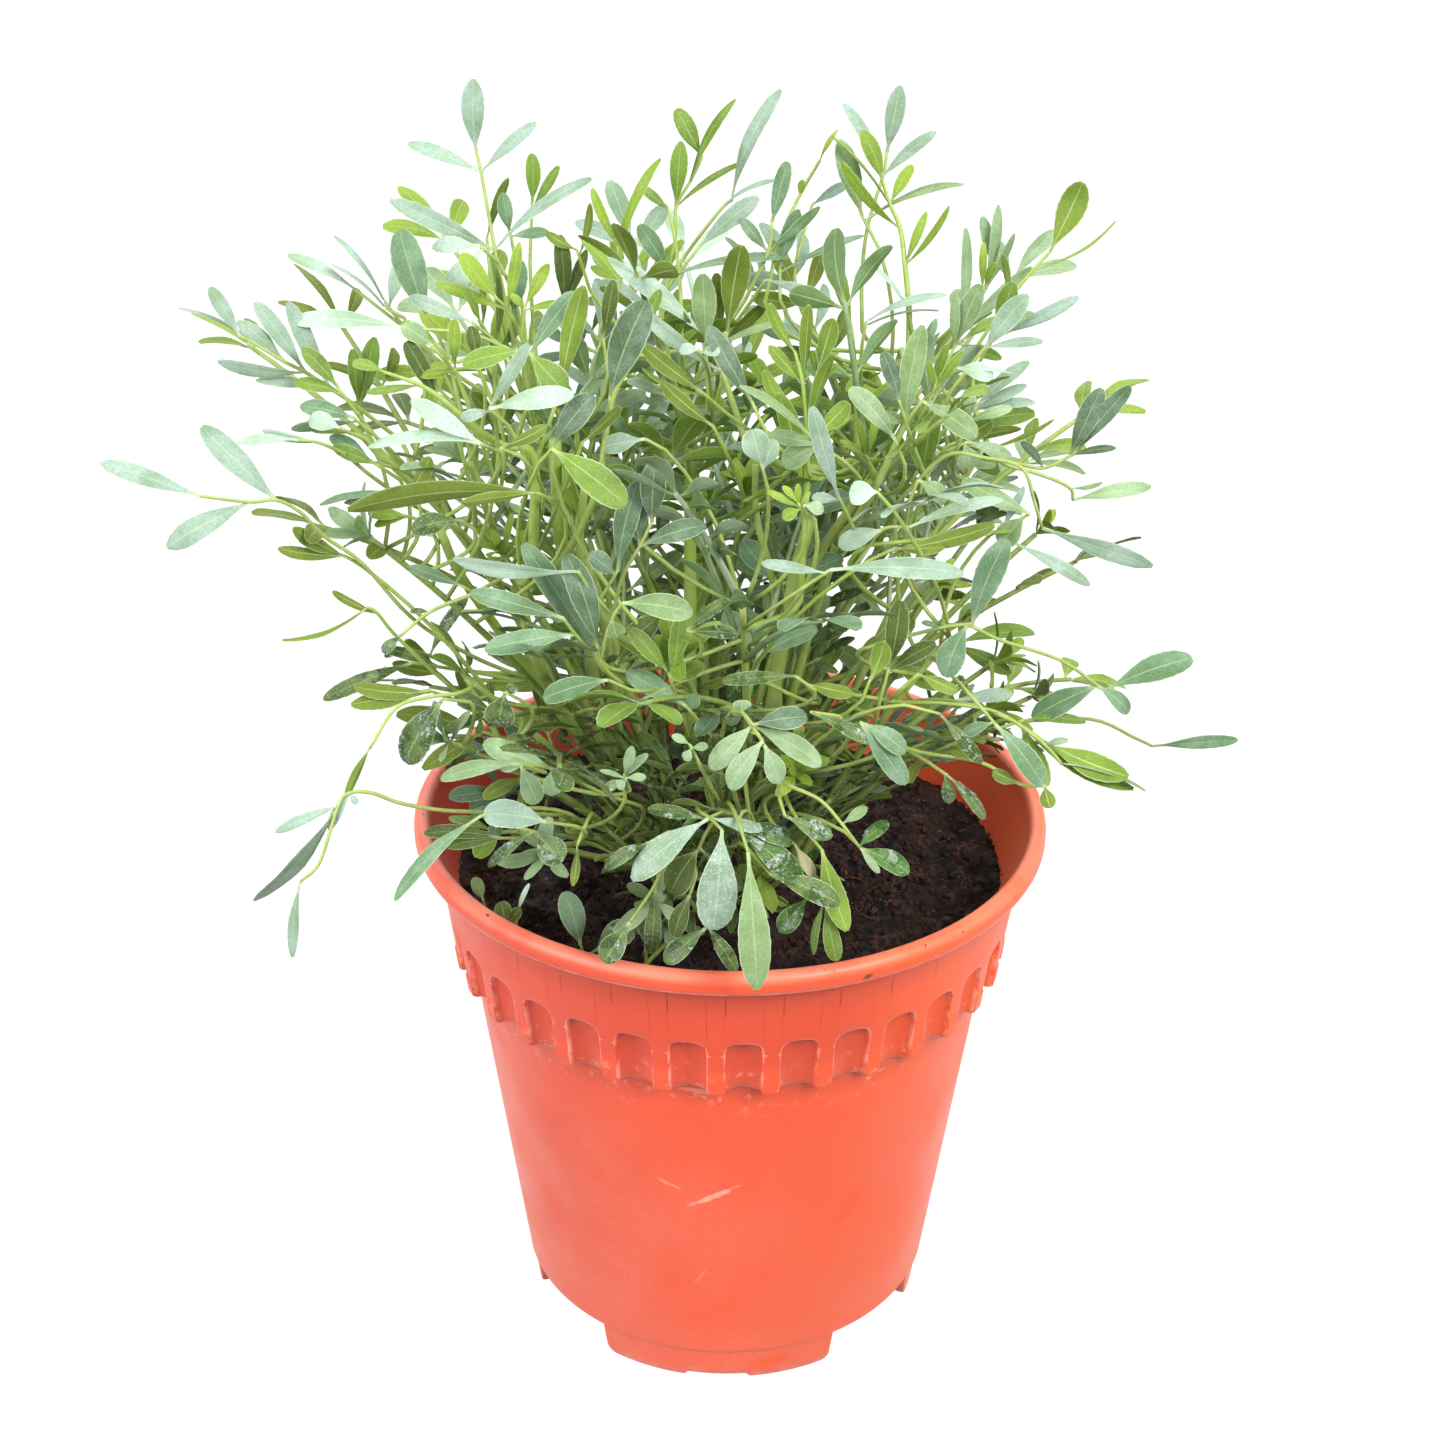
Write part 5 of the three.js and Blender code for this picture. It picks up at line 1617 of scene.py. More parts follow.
    spray("sage", (14, 16), ((880, 250), (862, 216)), ((840, 140), (962, 180)), (5.6, 3)),
    spray("blue", (4, 4), ((862, 345), (866, 322)), ((945, 292), (938, 307)), (3, 1.2)),
    spray("pale", (6, 6), ((912, 330), (908, 306)), ((868, 258),), 1.6),
    spray("mint", (26, 30), ((958, 330), (986, 288), (990, 262)), ((983, 217), (1001, 206), (1016, 235),
          (969, 229), (1032, 269)), (3, 2.4, 1, 2.4, 3), of=("upper_right", 1)),
    spray("lime", (10, 12), ((968, 310), (985, 286)), ((996, 262), (984, 243)), (2.4, 2)),
    spray("grass", (6, 12), ((978, 345), (1008, 300), (1035, 268), (1050, 252)), ((1084, 182), (1118, 225),
          None, (1003, 253)), (7.2, 1.2, 1, 1.8), of=("right", 0)),
    spray("sage", (-6, -4), ((940, 375), (956, 345)), ((980, 285), (955, 297)), (5.4, 2.6)),
    spray("green", (0, 2), ((975, 370), (997, 332)), ((1013, 283),), 5),
    spray("blue", (-8, -6), ((950, 392), (985, 348), (1003, 334)), ((1078, 297), (1027, 295), (1043, 340)),
          (3, 5.8, 2.8)),
    spray("teal", (-4, -4), ((916, 372), (920, 352)), ((922, 327), (936, 319)), (4, 2.4)),
    # right
    spray("sage", (-30, -32), ((880, 478), (905, 425), (922, 401)), ((978, 436), (922, 327), (886, 413)),
          (6, 5.6, 3), thick=1.1),
    spray("slate", (-32, -32), ((905, 420), (899, 400)), ((883, 352),), 4.2),
    spray("lime", (-28, -28), ((915, 430), (938, 380)), ((947, 345), (928, 360), (962, 352)),
          (2.2, 1.8, 1.8)),
    spray("pale", (-26, -28), ((925, 400), (957, 368)), ((994, 376), (1012, 371)), (4.6, 1.6)),
    spray("blue", (-18, -18), ((945, 430), (975, 408)), ((1028, 361), (1026, 384), (1035, 401)),
          (3.6, 3, 2.8)),
    spray("mint", (-24, -24), ((960, 440), (970, 418)), ((968, 389), (1012, 407)), (3, 2.8)),
    spray("mint", (-34, -36), ((905, 465), (895, 440)), ((851, 388),), 5.2),
    spray("lime", (-20, -20), ((876, 475), (866, 455)), ((858, 420), (876, 412), (840, 440)), (2, 2, 1.8)),
    spray("green", (-22, -22), ((915, 520), (923, 478)), ((934, 412), (908, 440)), (5.4, 1.6)),
    spray("pale", (-50, -52), ((893, 510), (877, 492)), ((849, 494),), 6.2),
    spray("mint", (-30, -30), ((910, 500), (918, 480)), ((947, 501),), 4.6),
    spray("slate", (-16, -14), ((960, 455), (1010, 462), (1043, 468), (1070, 456), (1077, 453)),
          ((1129, 387), (1101, 389), (1116, 447), (1022, 442)), (4.6, 5.6, 2.2, 2.6), of=("right", 1)),
    spray("olive", (-18, -16), ((915, 500), (948, 446), (985, 450)), ((1055, 423), (993, 422), (1021, 427)),
          (2, 4.8, 1.8)),
    spray("mint", (-20, -20), ((945, 452), (968, 442)), ((1012, 457), (970, 468)), (3.6, 6)),
    spray("blue", (-24, -30), ((900, 500), (945, 456), (985, 458), (1022, 468), (1034, 500), (1042, 528)),
          ((1153, 568),), 3.4, of=("low_right", 0)),
    spray("mint", (-20, -18), ((1010, 466), (1045, 476), (1070, 488), (1073, 500)), ((1151, 485),
          (1103, 483)), (4.2, 0.9)),
    spray("sage", (-30, -32), ((990, 535), (1030, 514)), ((963, 480), (1000, 545)), (5, 6.4)),
    spray("blue", (-28, -32), ((920, 540), (1000, 532), (1014, 543)), ((1091, 584), (1024, 487)), (3.6, 2)),
    spray("pale", (-40, -40), ((860, 560), (882, 530), (910, 527)), ((1002, 497), (838, 545)), (3.6, 5.2)),
    spray("olive", (-42, -42), ((870, 560), (896, 548)), ((945, 548), (995, 526)), (3, 4)),
    spray("lime", (-36, -34), ((870, 545), (940, 538), (990, 534)), ((1012, 531),), 1, thick=0.6),
    spray("blue", (-54, -56), ((800, 590), (830, 570)), ((964, 571), (762, 562)), (5.4, 3)),
    spray("teal", (-34, -44), ((860, 650), (900, 638), (940, 628), (968, 624), (972, 625)), ((1006, 540),
          (944, 677), None, (922, 622)), (7, 7, 1, 1.6), of=("low_right", 1)),
    spray("teal", (-36, -24), ((972, 626), (1000, 640), (1060, 660), (1098, 686), (1106, 690)),
          ((1192, 657), (1130, 712), (1032, 717)), (7.4, 4.6, 6.6), of=("far_right", 1)),
    spray("teal", (-8, 6), ((1010, 722), (1090, 719), (1135, 738), (1152, 746)), ((1238, 741),), 2.8,
          of=("far_right", 0)),
    spray("green", (-28, -28), ((1000, 728), (1024, 720)), ((1086, 721),), 2.8),
    spray("blue", (-34, -34), ((930, 704), (958, 700)), ((1012, 693),), 3.8),
    spray("grass", (-38, -46), ((855, 695), (900, 702), (940, 703), (990, 710), (1022, 726), (1045, 742)),
          ((1127, 778), (1130, 792), (1046, 786)), (6.8, 4.8, 5.6), of=("low_right", 2)),
    spray("mint", (-46, -48), ((1015, 722), (1045, 745), (1062, 764)), ((1147, 787), (1068, 740)),
          (1.8, 2)),
    spray("olive", (-46, -58), ((870, 735), (920, 752), (980, 762), (1020, 784), (1045, 786)), ((1050, 808),
          (992, 772)), (4, 3.6), of=("low_right", 3)),
    spray("teal", (-52, -54), ((985, 712), (995, 724)), ((1045, 786), (962, 735)), (6, 3.2)),
    spray("wet", (-54, -56), ((905, 705), (940, 714)), ((983, 763),), 3.6),
    spray("teal", (-62, -64), ((888, 735), (860, 722)), ((908, 784), (906, 752)), (5.4, 5)),
    spray("wet", (-62, -64), ((838, 716), (810, 712)), ((877, 743),), 3.6),
    spray("dark", (-44, -44), ((880, 700), (889, 668)), ((900, 602), (935, 643)), (5.6, 4.4)),
    spray("grass", (-50, -50), ((862, 700), (870, 680)), ((885, 641),), 5),
    spray("grass", (-46, -46), ((900, 690), (918, 674)), ((957, 692),), 3.6),
    spray("olive", (-48, -50), ((820, 700), (806, 684)), ((853, 695),), 3.8),
    spray("wet", (-50, -54), ((925, 760), (948, 776)), ((986, 819), (950, 804)), (3, 3.4)),
    # centre
    spray("wet", (-54, -56), ((700, 640), (687, 630)), ((729, 599), (739, 633)), (3, 3.6)),
    spray("wet", (-54, -56), ((815, 690), (795, 676)), ((722, 680),), 3.6),
    spray("mint", (-60, -70), ((742, 712), (752, 726), (763, 741)), ((729, 789), (709, 768), (822, 764),
          (742, 700)), (5.6, 5.6, 5.6, 4.4), of=("front", 2)),
    spray("slate", (-62, -66), ((745, 715), (753, 725)), ((807, 716),), 5.8),
    spray("mint", (-68, -70), ((758, 734), (764, 745)), ((780, 784),), 5),
    spray("mint", (-64, -66), ((700, 765), (690, 745)), ((672, 735), (685, 761), (708, 746)),
          (2.2, 2.6, 2.2)),
    # low front
    spray("frost", (-62, -72), ((700, 812), (710, 818), (722, 830)), ((713, 931), (630, 879), (763, 829)),
          (9.6, 7.4, 3.2), of=("front", 0)),
    spray("sage", (-70, -76), ((740, 826), (748, 852)), ((757, 992),), 7.8, of=("front", 1)),
    spray("wet", (-60, -64), ((722, 812), (705, 819)), ((648, 808),), 3.6),
    spray("soaked", (-62, -66), ((742, 812), (735, 828)), ((805, 887), (793, 841)), (6.8, 5)),
    spray("wet", (-64, -70), ((750, 850), (772, 876)), ((840, 903),), 6),
    spray("soaked", (-60, -62), ((790, 872), (808, 897)), ((779, 932),), 5.6),
    spray("cream", (-60, -62), ((780, 832), (795, 845)), ((815, 877),), 3),
    spray("wet", (-64, -68), ((780, 800), (785, 816)), ((833, 836),), 4.6),
    spray("grass", (-62, -66), ((805, 830), (822, 850)), ((846, 930),), 5.8),
    spray("green", (-64, -66), ((818, 880), (826, 905)), ((837, 962), (812, 955)), (4.4, 2)),
    spray("mint", (-64, -68), ((790, 786), (820, 800), (842, 824), (860, 848)), ((880, 873), (867, 807)),
          (2, 2.8)),
    spray("soaked", (-60, -62), ((845, 832), (862, 849)), ((910, 872), (888, 822)), (5.4, 3.6),
          of=("front", 3)),
    spray("wet", (-62, -66), ((668, 832), (650, 842)), ((604, 868),), 3.8),
    spray("wet", (-62, -68), ((665, 860), (655, 885), (640, 908), (630, 922)), ((603, 962), None, None,
          (650, 955)), (6.4, 1, 1, 4.2)),
    spray("dark", (-58, -60), ((705, 835), (698, 850)), ((670, 893), (742, 890)), (8, 4)),
    spray("dark", (-62, -64), ((696, 875), (690, 895)), ((674, 936),), 4.8),
    spray("wet", (-64, -66), ((712, 905), (706, 928)), ((664, 962), (738, 972)), (5.4, 4)),
    spray("wet", (-60, -62), ((520, 828), (536, 832)), ((562, 862), (487, 866)), (7.4, 3)),
    spray("olive", (-60, -62), ((584, 828), (577, 846)), ((573, 886),), 2.2),
    # wet leaves low at the left
    spray("wet", (-18, -26), ((474, 672), (440, 667), (412, 663)), ((322, 698), (386, 648)), (4.6, 3.2)),
    spray("wet", (-14, -20), ((455, 668), (430, 656), (408, 648)), ((384, 656), (466, 598)), (2.6, 3.2)),
    spray("olive", (-12, -18), ((456, 690), (440, 674)), ((392, 664), (404, 640)), (3.8, 4.4)),
    # thick stems that show through the leaves, and others low over the soil
    spray("stem", (4, -24), ((625, 800), (605, 740), (590, 650), (590, 560)), thick=1.8),
    spray("stem", (6, -30), ((640, 810), (600, 760), (545, 680), (520, 600)), thick=1.6),
    spray("limeStem", (0, -18), ((600, 700), (563, 550), (558, 500), (555, 440)), thick=1.8),
    spray("stem", (0, -20), ((600, 700), (520, 590), (500, 545), (483, 500), (470, 460)), thick=0.95),
    spray("limeStem", (0, -6), ((690, 760), (690, 620), (690, 530), (690, 440)), thick=1.7),
    spray("stem", (0, -10), ((780, 760), (775, 600), (757, 520), (755, 465)), thick=0.95),
    spray("stem", (0, -14), ((760, 780), (790, 600), (810, 520)), thick=1.8),
    spray("stem", (0, -12), ((740, 760), (800, 590), (870, 480)), thick=1.3),
    spray("limeStem", (0, -30), ((580, 740), (470, 590), (440, 530)), thick=1.3),
    spray("stem", (0, -26), ((560, 700), (490, 570), (450, 520)), thick=0.95),
    spray("stem", (0, -20), ((620, 740), (600, 600), (580, 560), (585, 480)), thick=1.15),
    spray("stem", (10, 6), ((560, 820), (600, 822), (660, 828)), thick=0.85),
    spray("stem", (0, 2), ((565, 845), (600, 842), (640, 838)), thick=0.85),
    spray("limeStem", (-14, -50), ((695, 875), (680, 925), (645, 965)), thick=0.7),
    # small leaves that stand in the soil by the pot's front wall
    spray("sage", (-36, -36), ((486, 912), (483, 900)), ((474, 878),), 3.4, rooted=True),
    spray("dark", (-42, -42), ((510, 932), (506, 924)), ((501, 902), (520, 908), (498, 918)), (4.4, 3, 3),
          rooted=True),
    spray("pale", (-40, -40), ((516, 922), (518, 914)), ((528, 884),), 1.4, rooted=True),
    spray("teal", (-47, -47), ((585, 958), (580, 944)), ((565, 893),), 6.4, rooted=True),
    spray("wet", (-48, -48), ((588, 956), (596, 950)), ((634, 926),), 7.4, rooted=True),
    spray("slate", (-49, -49), ((646, 962), (646, 948)), ((652, 900),), 5.6, rooted=True),
]

# The greens of its leaves, from bloom-white to bottle green, and how wet each is
greens = {
    "pale": dict(colour=(172, 197, 180), wet=0),
    "frost": dict(colour=(156, 180, 164), wet=0.35),
    "blue": dict(colour=(148, 173, 156), wet=0),
    "mint": dict(colour=(148, 176, 132), wet=0),
    "sage": dict(colour=(130, 158, 104), wet=0),
    "teal": dict(colour=(108, 142, 106), wet=0),
    "slate": dict(colour=(86, 114, 84), wet=0),
    "green": dict(colour=(114, 144, 48), wet=0),
    "grass": dict(colour=(128, 156, 48), wet=0),
    "lime": dict(colour=(138, 166, 48), wet=0),
    "olive": dict(colour=(108, 126, 28), wet=0),
    "dark": dict(colour=(80, 100, 32), wet=0),
    "wet": dict(colour=(92, 116, 54), wet=1),
    "soaked": dict(colour=(84, 126, 42), wet=1),
    "stem": dict(colour=(150, 172, 76), wet=0),
    "cream": dict(colour=(206, 190, 150), wet=0),
    "limeStem": dict(colour=(146, 176, 60), wet=0),
}

# Leaflets: closed lenses in a row of one topology, bent, cupped and twisted each its own way
leaflet = {
    "thickness": 0.36,
    "ribDepth": 0.16,
    "broadest": 0.63,  # share of the way along
    "stalkHalf": 0.42,  # half its width where it leaves its stalk
    "steps": {"fine": (22, 8), "plain": (10, 6), "small": (7, 4)},
}


def bladeGrid(kind):
    rows, columns = leaflet["steps"][kind]
    u = np.arange(rows + 1) / rows
    u = 0.25 * u + 0.75 * np.sin(math.pi / 2 * u) ** 1.1  # closer together towards the tip
    v = np.linspace(-1, 1, columns + 1)
    v = np.sign(v) * np.abs(v) ** 0.85
    return u, v


def bladeOutline(u, waist, tipShare):
    # half a leaflet's width as a share of its greatest, from a narrow foot to a round tip
    broadest = leaflet["broadest"]
    rise = np.sin(math.pi / 2 * np.clip(u / broadest, 0, 1))[None, :] ** waist[:, None]
    past = np.clip((u - broadest) / (1 - broadest), 0, 1)[None, :]
    fall = (1 - past ** 2.25) ** tipShare[:, None]
    return np.where(u[None, :] <= broadest, rise, fall)


def bladeMesh(blades, kind):
    # points, faces and marks of many leaflets at once
    u, v = bladeGrid(kind)
    rows, columns = len(u), len(v)
    count = len(blades)

    def gather(key, standard=0.0):
        return np.array([blade.get(key, standard) for blade in blades], float)
    start, way = gather("start"), gather("way")
    normal = np.array([squared(blade["normal"], blade["way"]) for blade in blades])
    across = np.cross(way, normal)
    length, width = gather("length"), gather("width")
    waist, tipShare = gather("waist", 1.3), gather("tipShare", 0.55)
    half = width[:, None] / 2 * bladeOutline(u, waist, tipShare)
    foot = leaflet["stalkHalf"] * np.minimum(1, width / 4)[:, None]
    half = np.maximum(half, foot * (1 - u[None, :]) + 0.12 * width[:, None] * (u[None, :] > 0.5))
    phase = gather("phase")
    teeth = 8.3 if kind == "fine" else 4.3
    ripple = np.sin(math.tau * (u[None, :] * teeth + phase[:, None])) * 0.025 * (u[None, :] > 0.3)
    half = half * (1 + ripple)
    curl, sway, twist, cup, wave = (gather(key) for key in ("curl", "sway", "twist", "cup", "wave"))
    bow = 0.1944 * u - 0.2444 * u ** 2 + curl[:, None] * (u ** 2 - u)
    side = sway[:, None] * (u ** 2 - u)
    centre = start[:, None, :] + way[:, None, :] * (length[:, None] * u)[..., None]
    centre = centre + normal[:, None, :] * (length[:, None] * bow)[..., None]
    centre = centre + across[:, None, :] * (length[:, None] * side)[..., None]
    angle = twist[:, None] * (u[None, :] - 0.3)
    c, s = np.cos(angle)[..., None], np.sin(angle)[..., None]
    turnedAcross = across[:, None, :] * c + normal[:, None, :] * s
    turnedUp = normal[:, None, :] * c - across[:, None, :] * s
    fold = cup[:, None, None] * np.abs(v)[None, None, :] ** 1.15
    ruffle = wave[:, None, None] * v[None, None, :] ** 2 * np.sin(
        math.tau * (1.6 * u[None, :, None] + phase[:, None, None] + 0.35 * np.sign(v)[None, None, :]))
    rise = half[..., None] * (fold + ruffle)
    flat = half[..., None] * v[None, None, :] * (1 - 0.25 * cup[:, None, None] ** 2)
    surface = centre[:, :, None, :] + turnedAcross[:, :, None, :] * flat[..., None]
    surface = surface + turnedUp[:, :, None, :] * rise[..., None]
    swell = np.sqrt(np.clip(1 - v ** 2, 0, 1))[None, None, :] * leaflet["thickness"] / 2
    rib = np.exp(-(v / 0.2) ** 2)[None, None, :] * leaflet["ribDepth"] * (1 - 0.8 * u[None, :, None])
    top = surface + turnedUp[:, :, None, :] * (swell - 0.6 * rib)[..., None]
    under = surface - turnedUp[:, :, None, :] * (swell + rib)[..., None]
    inner = under[:, 1:-1, 1:-1, :]
    points = np.concatenate([top.reshape(count, -1, 3), inner.reshape(count, -1, 3)], axis=1)
    size = points.shape[1]
    upper = np.arange(rows * columns).reshape(rows, columns)
    lower = upper.copy()
    lower[1:-1, 1:-1] = rows * columns + np.arange((rows - 2) * (columns - 2)).reshape(rows - 2, columns - 2)
    faces, uv = [], []
    for sheet in (upper, lower):
        for i in range(rows - 1):
            for j in range(columns - 1):
                corners = [(i, j), (i, j + 1), (i + 1, j + 1), (i + 1, j)]
                if sheet is lower:
                    corners.reverse()
                faces.append([sheet[corner] for corner in corners])
                uv.append([(u[a], (v[b] + 1) / 2) for a, b in corners])
    faces, uv = np.array(faces), np.array(uv)
    rim = np.zeros(size, bool)
    edge = np.zeros((rows, columns), bool)
    edge[[0, -1], :] = True
    edge[:, [0, -1]] = True
    rim[:rows * columns] = edge.ravel()
    offsets = (np.arange(count) * size)[:, None, None]
    marks = {"leafWet": np.repeat(gather("wet"), size),
             "leafColour": np.repeat(gather("colour"), size, axis=0)}
    finish = np.tile(np.repeat([0, 1], len(faces) // 2), count)
    return dict(points=points.reshape(-1, 3), faces=(faces[None] + offsets).reshape(-1, 4).tolist(),
                uv=np.tile(uv, (count, 1, 1)).reshape(-1, 2), rim=np.tile(rim, count),
                finish=finish, marks=marks)


# Stalks: round tubes along a line of points, ribbed on the thick stems
def tubeMesh(stalk):
    line = np.asarray(stalk["line"], float)
    sizes = np.asarray(stalk["sizes"], float)
    sides = stalk.get("sides", 6)
    ways = np.gradient(line, axis=0)
    ways /= np.linalg.norm(ways, axis=1)[:, None]
    across = squared(np.array([0.31, 0.9, 0.17]), ways[0])
    points = []
    ribs = stalk.get("ribs", 0)
    for spot, way, size in zip(line, ways, sizes):
        across = squared(across, way)
        other = np.cross(way, across)
        for k in range(sides):
            turn = k / sides * math.tau
            reach = size * (1 + (0.045 * math.cos(ribs * turn) if ribs else 0))
            points.append(spot + (across * math.cos(turn) + other * math.sin(turn)) * reach)
    faces = []
    for i in range(len(line) - 1):
        for k in range(sides):
            j = (k + 1) % sides
            faces.append([i * sides + k, i * sides + j, (i + 1) * sides + j, (i + 1) * sides + k])
    last = (len(line) - 1) * sides
    faces.append([k for k in reversed(range(sides))])
    faces.append([last + k for k in range(sides)])
    corners = sum(len(face) for face in faces)
    paint = srgb(*greens[stalk["tone"]]["colour"])
    marks = {"leafWet": np.zeros(len(points)), "leafColour": np.tile(paint, (len(points), 1))}
    return dict(points=np.array(points), faces=faces, uv=np.zeros((corners, 2)),
                rim=np.zeros(len(points), bool), finish=np.full(len(faces), 2), marks=marks)


def joinedPiece(name, parts, finishes):
    points, faces, uv, rim, finish = [], [], [], [], []
    marks = {"leafWet": [], "leafColour": []}
    offset = 0
    for part in parts:
        points.append(part["points"])
        faces += [[index + offset for index in face] for face in part["faces"]]
        uv.append(part["uv"])
        rim.append(part["rim"])
        finish.append(part["finish"])
        for key in marks:
            marks[key].append(part["marks"][key])
        offset += len(part["points"])
    return makePiece(name, np.vstack(points), faces, finishes, np.concatenate(finish), np.vstack(uv),
                     {key: np.concatenate(value) for key, value in marks.items()}, np.concatenate(rim))


# How the bush fills up: side shoots, their leaves, low leaves and young tips
bush = {
    "seeds": {"stem": 11, "shoots": 111, "fill": 211, "seen": 511},
    "sideShoots": 2,
    "shootStart": (0.04, 0.3),
    "shootSpread": 24,
    "shootRadius": 1.05,
    "stemSize": 0.78,  # of the frame's stem
    "leavesLow": (7, 0.06, 0.42),  # how many, and from where to where along their stem
    "leavesOnStem": (5, 0.45, 0.97),
    "leavesOnShoot": (5, 0.5, 1.0),
    "featheredShare": 0.3,
    "leafStalk": (0.8, 0.5),  # thick at its foot and at its end
    "smallStalk": (0.55, 0.4),
    "shootEnd": 0.6,
    "tipSize": (9, 13),
    "tries": 20,
    "looseness": 0.6,
    "crowding": 7,  # how far a stalk looks for a free place on its stem
    "jointSpan": 4,
    "middle": (0, 2, 204),
    "reach": (98, 86, 92),
    "leafLength": (34, 58),
    "bladeLength": (13, 22),
    "bladeBroad": (0.25, 0.36),
    "highFrom": 225,
    "highTones": ("blue", "blue", "pale", "sage", "teal", "green", "grass", "lime", "olive", "mint"),
    # lower down the leaves take darker greens, partly their own and partly painted shade deep in the bush
    "lowTones": ("teal", "sage", "green", "dark", "olive", "sage", "wet", "green", "wet", "grass"),
    "darkBelow": 190,
    "darkTones": ("dark", "wet", "slate", "olive", "wet", "soaked", "green", "grass"),
}


# The crown's outline in the photo, in pixels: leaves drawn by rule keep inside it
crown = (
    (286, 340), (330, 296), (400, 296), (440, 240), (500, 190), (560, 186), (600, 206), (660, 176),
    (720, 196), (770, 160), (800, 220), (850, 250), (868, 320), (905, 350), (940, 300), (960, 240),
    (1000, 220), (1036, 290), (1030, 380), (1056, 420), (1066, 490), (1030, 530), (975, 520), (940, 560),
    (912, 570), (910, 650), (960, 690), (1060, 700), (1110, 760), (1060, 800), (1030, 850), (960, 920),
    (700, 965), (460, 900), (410, 800), (410, 740), (330, 700), (340, 660), (430, 600), (452, 560),
    (400, 470), (330, 470), (300, 430),
)

# Where the photo looks in past the front leaves, on the stems: left, right, top and bottom
stemWindow = (500, 870, 510, 700)

# Where the photo shows the soil, or white between the leaves: left, right, top and bottom
openings = (
    (440, 600, 852, 985), (872, 1046, 802, 985), (905, 985, 575, 628), (950, 1100, 640, 692),
    (862, 908, 315, 365), (317, 425, 507, 560), (1037, 1095, 380, 450), (797, 850, 227, 300),
)


def pixelsOf(spots):
    rays = (np.asarray(spots, float) - view["place"]) @ np.array(cameraTurn().to_3x3())
    half = view["frameSize"] / 2
    scale = -view["focal"] / rays[:, 2]
    return half + rays[:, 0] * scale, half - rays[:, 1] * scale


def insideCrown(spots):
    x, y = pixelsOf(spots)
    inside = np.zeros(len(x), bool)
    for (x1, y1), (x2, y2) in zip(crown, crown[1:] + crown[:1]):
        if y1 != y2:
            crosses = (y1 > y) != (y2 > y)
            inside ^= crosses & (x < (x2 - x1) * (y - y1) / (y2 - y1) + x1)
    left, right, top, bottom = stemWindow
    before = (np.asarray(spots)[:, 1] < -4) & (x > left) & (x < right) & (y > top) & (y < bottom)
    for left, right, top, bottom in openings:
        before |= (x > left) & (x < right) & (y > top) & (y < bottom)
    return bool(inside.all() and not before.any())


def between(draw, pair):
    return pair[0] + (pair[1] - pair[0]) * draw()


def inBush(point):
    share = (np.asarray(point, float) - bush["middle"]) / bush["reach"]
    return float(share @ share) < 1


def dressBlade(blade, draw, tone):
    # gives a leaflet its own bend, cup, twist and green
    light = 0.9 + 0.2 * draw()
    return {
        **blade,
        "width": blade["width"] * 0.88,
        "waist": 1.1 + 0.6 * draw(),
        "tipShare": 0.42 + 0.18 * draw(),
        "curl": (draw() - 0.62) * 0.32,
        "sway": (draw() - 0.5) * 0.24,
        "twist": (draw() - 0.5) * 0.9,
        "cup": 0.04 + 0.34 * draw(),
        "wave": 0.1 * draw(),
        "phase": draw(),
        "colour": [min(1, part * light) for part in srgb(*greens[tone]["colour"])],
        "wet": greens[tone]["wet"],
    }


def drawnTone(draw, height):
    # paler leaves at the top, darker ones low down, partly their own green and partly painted shade deep in
    # the bush, with young ones among them
    tones = bush["highTones"] if height > bush["highFrom"] else bush["lowTones"]
    if height < bush["darkBelow"]:
        tones = bush["darkTones"]
    return tones[int(draw() * len(tones))]


def stalkAlong(curve, share, thick, thin, steps=9, **marks):
    shares = np.linspace(0, share, steps)
    line = [along(curve, s) for s in shares]
    sizes = thick + (thin - thick) * np.linspace(0, 1, steps)
    return dict(line=line, sizes=sizes, **marks)


def dressPlan(plan, draw, tone):
    # a leaf's leaflets and stalk, from its plan
    blades = [dressBlade(blade, draw, tone) for blade in plan["blades"]]
    stalks = [stalkAlong(plan["curve"], plan["bladeStart"], *bush["leafStalk"], tone=tone)]
    for extra in plan.get("stalks", []):
        stalks.append(dict(line=extra, sizes=np.linspace(*bush["smallStalk"], len(extra)), tone=tone))
    return blades, stalks


def feathered(plan, draw, share):
    # turns a leaf's lower leaflets into small sprays of three
    blades, stalks = [], []
    last = len(plan["blades"]) - 1
    for number, blade in enumerate(plan["blades"]):
        if number >= last - 1 or draw() > share:
            blades.append(blade)
            continue
        start, way, normal = blade["start"], blade["way"], squared(blade["normal"], blade["way"])
        across = np.cross(way, normal)
        neck = blade["length"] * (0.45 + 0.2 * draw())
        joint = start + way * neck
        stalks.append([start, start + way * neck * 0.5 + normal * 0.3, joint + way * 0.4])
        size = blade["length"] * (0.72 + 0.14 * draw())
        wide = size * blade["width"] / blade["length"] * 1.08
        blades.append({**blade, "start": joint, "length": size, "width": wide})
        for side in (-1, 1):
            turn = math.radians(46 + 14 * draw())
            leaving = way * math.cos(turn) + across * (side * math.sin(turn))
            small = 0.78 + 0.12 * draw()
            foot = joint - way * (0.1 + 0.12 * draw()) * neck
            blades.append({**blade, "start": foot, "way": leaving, "length": size * small,
                           "width": wide * small})
    plan["blades"], plan["stalks"] = blades, stalks
    return plan


